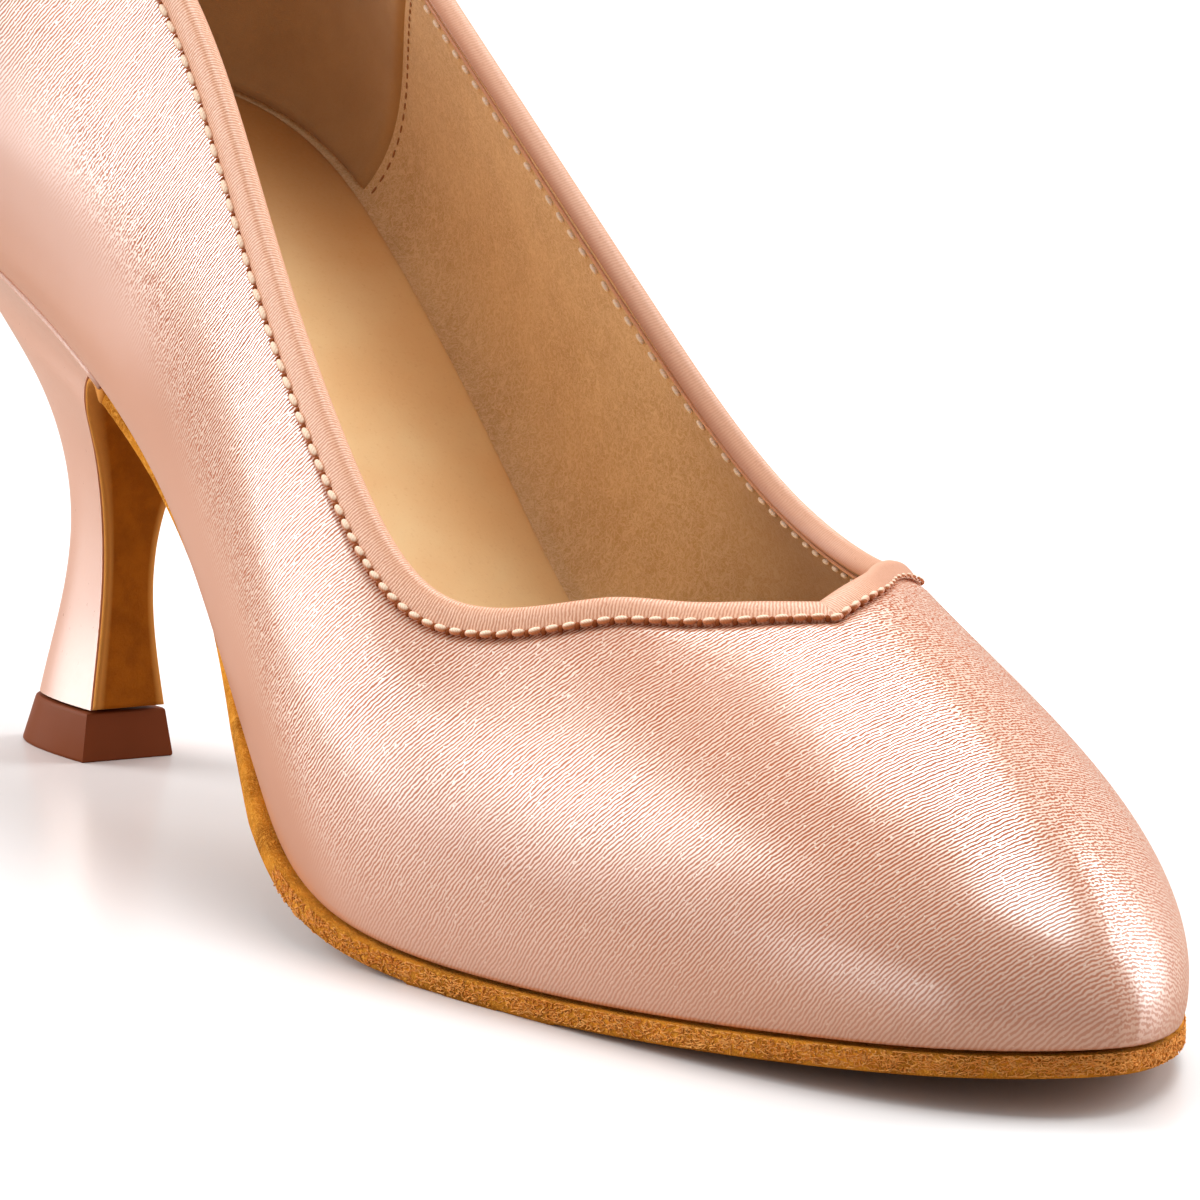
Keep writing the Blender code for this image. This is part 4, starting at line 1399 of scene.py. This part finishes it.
# Profile of its edge: share of the thickness down, and millimetres out of the outline.
EDGE_PROFILE = np.array([
    [0.00, -1.2], [0.00, -0.15], [0.10, 0.0], [0.30, 0.06], [0.55, 0.06], [0.78, 0.0],
    [0.92, -0.12], [1.00, -0.38],
])
ACROSS = 9              # points across the middle, below and above
STATIONS = 300
TOE_CROWDING = 1.25     # power that draws the stations together at the toe
TOE_OPEN = 0.0005       # keeps the first ring from closing to a line
SOLE_START = BREAST_TOP + 0.6


def sole_side(end):
    """Outline points and outward vectors from the toe back to the sole's start."""
    fine = np.linspace(TOE, end, 3000)
    line = feather(fine)
    beyond = np.interp(line[:, 0], SOLE_EDGE[:, 0], SOLE_EDGE[:, 1])
    outward = plan_outward(feather, fine)
    line = line + outward * beyond[:, None]
    keep = line[:, 0] >= SOLE_START
    line, outward = line[keep], outward[keep]
    share = np.linspace(0.0, 1.0, STATIONS) ** TOE_CROWDING
    at = TOE_OPEN + share * (len(line) - 1 - TOE_OPEN)
    count = np.arange(len(line))
    line, outward = at_lengths(at, count, line), unit(at_lengths(at, count, outward))
    line[:, 2] = bottom_height(line[:, 0]) - GAP
    return line, outward


def sole_rings(left, right, left_out, right_out, way, thick):
    """Closed rings: down the left edge, across below, up the right edge and back on top."""
    down = EDGE_PROFILE[None, :, 0] * thick[:, None]
    out = EDGE_PROFILE[None, :, 1]

    def side(line, outward):
        """The edge's profile at each station of one side."""
        return line[:, None] + way[:, None] * down[..., None] + outward[:, None] * out[..., None]

    near, far = side(left, left_out), side(right, right_out)[:, ::-1]
    share = np.linspace(0.0, 1.0, ACROSS + 2)[None, 1:-1, None]
    below = near[:, -1:] * (1 - share) + far[:, :1] * share
    above = far[:, -1:] * (1 - share) + near[:, :1] * share
    return np.concatenate([near, below, far, above], axis=1)


# %% The sole's plate under the foot
LOWEST = 0.2            # points below this lie flat on the floor

left, left_out = sole_side(0.0)
right, right_out = sole_side(GIRTH)
middle = ((left + right) / 2)[:, 0]
thick = np.interp(middle, SOLE_EDGE[:, 0], SOLE_EDGE[:, 2])
slope = np.gradient(bottom_height(middle), middle)
down = unit(np.stack([slope, 0 * slope, -np.ones_like(slope)], axis=1))
plate = sole_rings(left, right, left_out, right_out, down, thick)
plate[:, :, 2] = np.where(plate[:, :, 2] < LOWEST, 0.0, plate[:, :, 2])

# %% The sole's flap down the heel breast, between the heel's two front corners
FLAP_THICK = 0.65       # pared from the sole's own thickness over the first stretch
PARED = 0.95
PARED_OVER = 14.0

heel = heel_rings(120)[::-1][1:]
near, far = heel[:, 0], heel[:, -1]
outward = unit(near - far)
forward = unit(np.cross(near - far, np.gradient(near + far, axis=0)))
thin = FLAP_THICK + PARED * (1.0 - ease(running(near), 0.0, PARED_OVER))
flap = sole_rings(near + forward * GAP, far + forward * GAP, outward, -outward, forward, thin)
suede_sole = lofted("suede_sole", np.concatenate([plate, flap]), edge_suede)
suede_sole.data.materials.append(breast_suede)
per_ring = plate.shape[1]
ring_of = np.arange(len(suede_sole.data.polygons)) // per_ring
on_flap = (ring_of >= len(plate) - 1).astype(np.int32)
suede_sole.data.polygons.foreach_set("material_index", on_flap)
profile = len(EDGE_PROFILE)
on_side = np.zeros(per_ring)
on_side[1:profile] = 1.0
on_side[profile + ACROSS:2 * profile + ACROSS - 1] = 1.0
cut_edge = np.concatenate([np.zeros((len(plate), per_ring)), np.tile(on_side, (len(flap), 1))])
paint(suede_sole, "cut_edge", cut_edge.ravel())
finish(suede_sole, "outsole")

# %% [markdown]
# ### Loose fibres
#
# Single curled fibres stand out of the sole's cut edge. Hair would be slow to draw and
# hard to hand on, so each fibre is a thin tube of three sides along a short arc, and all
# of them are one mesh.

# %% Curled fibres along the sole's edge
CURLS_PER_SIDE = 2000
CURL_STEPS = 6
CURL_THICK = 0.075
FIBRES_FROM = 136.0     # from here to the toe
NO_FIBRE = UP + 0.13    # a direction that no fibre follows, to turn its rings by


def curls(stations, outward, down, thick, count):
    """Short arcs lying on the edge: each starts somewhere on it and turns at its own rate,
    so that its heading is heading + bend times the length so far."""
    stop = np.flatnonzero(stations[:, 0] > FIBRES_FROM)[-1]
    at = random.uniform(2.0, stop, count)
    pick = np.arange(len(stations))
    base, out, fall = (at_lengths(at, pick, line) for line in (stations, outward, down))
    out, fall = unit(out), unit(fall)
    ahead = unit(np.cross(fall, out))
    deep = np.interp(at, pick, thick) * random.uniform(0.05, 0.78, count)
    length = random.uniform(0.5, 1.5, count)
    bend = random.normal(0.0, 1.0, count) * 2.6 / length
    heading = random.uniform(0.0, 2 * np.pi, count)
    u = np.linspace(0.0, 1.0, CURL_STEPS)[None, :]
    turn = heading[:, None] + bend[:, None] * length[:, None] * u
    step = length[:, None] / (CURL_STEPS - 1)
    x = np.cumsum(np.cos(turn) * step, axis=1)
    y = np.cumsum(np.sin(turn) * step, axis=1) * 0.6
    y = np.clip(y + deep[:, None], 0.02, 0.86 * np.interp(at, pick, thick)[:, None])
    lift = 0.06 + 0.09 * np.sin(np.pi * u) * random.uniform(0.2, 1.0, (count, 1))
    return (base[:, None] + ahead[:, None] * x[..., None] + fall[:, None] * y[..., None]
            + out[:, None] * lift[..., None])


def thin_tubes(lines, radius):
    """Three-sided tubes along many short lines at once, with closed, narrowed ends."""
    count, steps = lines.shape[:2]
    way = unit(np.gradient(lines, axis=1))
    side = unit(np.cross(way, NO_FIBRE))
    up = np.cross(way, side)
    taper = np.sin(np.linspace(0.25, np.pi - 0.25, steps)) ** 0.5 * radius
    spin = np.arange(3) * 2 * np.pi / 3
    ring = (side[:, :, None] * np.cos(spin)[:, None] + up[:, :, None] * np.sin(spin)[:, None])
    points = lines[:, :, None] + ring * taper[None, :, None, None]
    tube = quads(steps, 3, closed_band=False)
    ends = np.array([[0, 1, 2], [3 * steps - 1, 3 * steps - 2, 3 * steps - 3]])
    first = (np.arange(count) * steps * 3)[:, None, None]
    faces = (tube + first).reshape(-1, 4).tolist() + (ends + first).reshape(-1, 3).tolist()
    return points.reshape(-1, 3), faces


fibres = np.concatenate([curls(left, left_out, down, thick, CURLS_PER_SIDE),
                         curls(right, right_out, down, thick, CURLS_PER_SIDE)])
points, faces = thin_tubes(fibres, CURL_THICK)
sole_fibres = new_piece("sole_fibres", points, faces, fibre_suede)
finish(sole_fibres, "outsole")

# %% [markdown]
# ## Floor and lights
#
# The shoe stands on a pale sheet of paper. Satin shows the shape of its lights as bands,
# so plain soft boxes stand round it, with dark gaps between them: the main one behind the
# lateral side, two above, one on the medial side and a weak one low on the lateral side.
# The light that the paper throws back would flatten the satin from below, so to every
# ray but the camera's own the sheet is a darker warm grey.

# %% Floor
FLOOR = 6.0             # half its side, in metres
NEAR, FAR = 0.04, 0.10  # squares of the distances over which its grey deepens

mesh = bpy.data.meshes.new("floor")
corners = [(-FLOOR, -FLOOR, 0), (FLOOR, -FLOOR, 0), (FLOOR, FLOOR, 0), (-FLOOR, FLOOR, 0)]
mesh.from_pydata(corners, [], [[0, 1, 2, 3]])
floor = bpy.data.objects.new("floor", mesh)
bpy.context.scene.collection.objects.link(floor)
material, tree, shader = new_material("paper_sheet")
place = add(tree, "ShaderNodeTexCoord", {}).outputs["Object"]
parts = parts_of(tree, place)
x_squared = calc(tree, "MULTIPLY", parts["X"], parts["X"])
y_squared = calc(tree, "MULTIPLY", parts["Y"], parts["Y"])
away = remap(tree, calc(tree, "ADD", x_squared, y_squared), NEAR, FAR)
seen = mix(tree, noise(tree, place, 8.0), colour(250, 249, 249), colour(253, 252, 252))
thrown_back = mix(tree, away, colour(184, 169, 158), colour(116, 111, 107))
direct = add(tree, "ShaderNodeLightPath", {}).outputs["Is Camera Ray"]
plug(tree, shader, {"Base Color": mix(tree, direct, thrown_back, seen), "Roughness": 0.25,
                    "Specular IOR Level": 0.2})
mesh.materials.append(material)

# %% Lights
# Each box: its direction from the shoe, width and height in metres, and power in watts.
SOFTBOXES = {
    "main_softbox": ((-0.73, -0.58, 0.40), 0.90, 1.10, 14.0),
    "overhead_softbox": ((-0.42, 0.26, 0.87), 0.80, 0.80, 9.5),
    "zenith_softbox": ((0.15, 0.18, 0.97), 0.60, 0.60, 7.0),
    "medial_softbox": ((0.04, 0.93, 0.36), 0.80, 1.05, 12.5),
    "fill_softbox": ((0.12, -0.97, 0.12), 1.00, 0.60, 2.2),
}
DISTANCE = 1.3
LIT_POINT = Vector((0.02, 0.0, 0.04))   # the boxes face this point in the shoe
SURROUND = 0.42                         # strength of the white all round

bpy.context.scene.view_settings.view_transform = "Standard"
world = bpy.data.worlds.new("studio")
bpy.context.scene.world = world
world.use_nodes = True
background = world.node_tree.nodes["Background"]
plug(world.node_tree, background, {"Color": (1.0, 1.0, 1.0, 1.0), "Strength": SURROUND})

for name, (toward, width, height, power) in SOFTBOXES.items():
    lamp = bpy.data.lights.new(name, "AREA")
    lamp.shape = "RECTANGLE"
    lamp.size, lamp.size_y = width, height
    lamp.energy = power
    box = bpy.data.objects.new(name, lamp)
    box.location = LIT_POINT + Vector(toward).normalized() * DISTANCE
    box.rotation_euler = (LIT_POINT - box.location).to_track_quat("-Z", "Y").to_euler()
    bpy.context.scene.collection.objects.link(box)
print("lights:", ", ".join(SOFTBOXES))

# %% [markdown]
# ## The camera
#
# A long lens from about a metre keeps the toe from swelling beside the heel. The camera
# could be placed by hand, but worked out from three angles round one point in the shoe,
# each angle can be changed alone.

# %% Camera
FOCAL_LENGTH = 329.136
CAMERA_ANGLES = np.radians([57.8, 9.5, 3.2])        # azimuth, elevation and roll
CAMERA_DISTANCE = 1.0982
TARGET = np.array([0.0226, -0.00035, 0.0327])       # the point it looks at

lens = bpy.data.cameras.new("camera")
lens.lens, lens.sensor_width = FOCAL_LENGTH, 36.0
lens.clip_start, lens.clip_end = 0.05, 30.0
camera = bpy.data.objects.new("camera", lens)
azimuth, elevation, roll = CAMERA_ANGLES
back = np.array([np.sin(azimuth) * np.cos(elevation), -np.cos(azimuth) * np.cos(elevation),
                 np.sin(elevation)])
level = np.array([np.cos(azimuth), np.sin(azimuth), 0.0])
up = np.cross(back, level)
across = level * np.cos(roll) + up * np.sin(roll)
upward = up * np.cos(roll) - level * np.sin(roll)
axes = np.column_stack([across, upward, back, TARGET + back * CAMERA_DISTANCE])
camera.matrix_world = Matrix(np.vstack([axes, [0, 0, 0, 1]]).tolist())
bpy.context.scene.collection.objects.link(camera)
bpy.context.scene.camera = camera
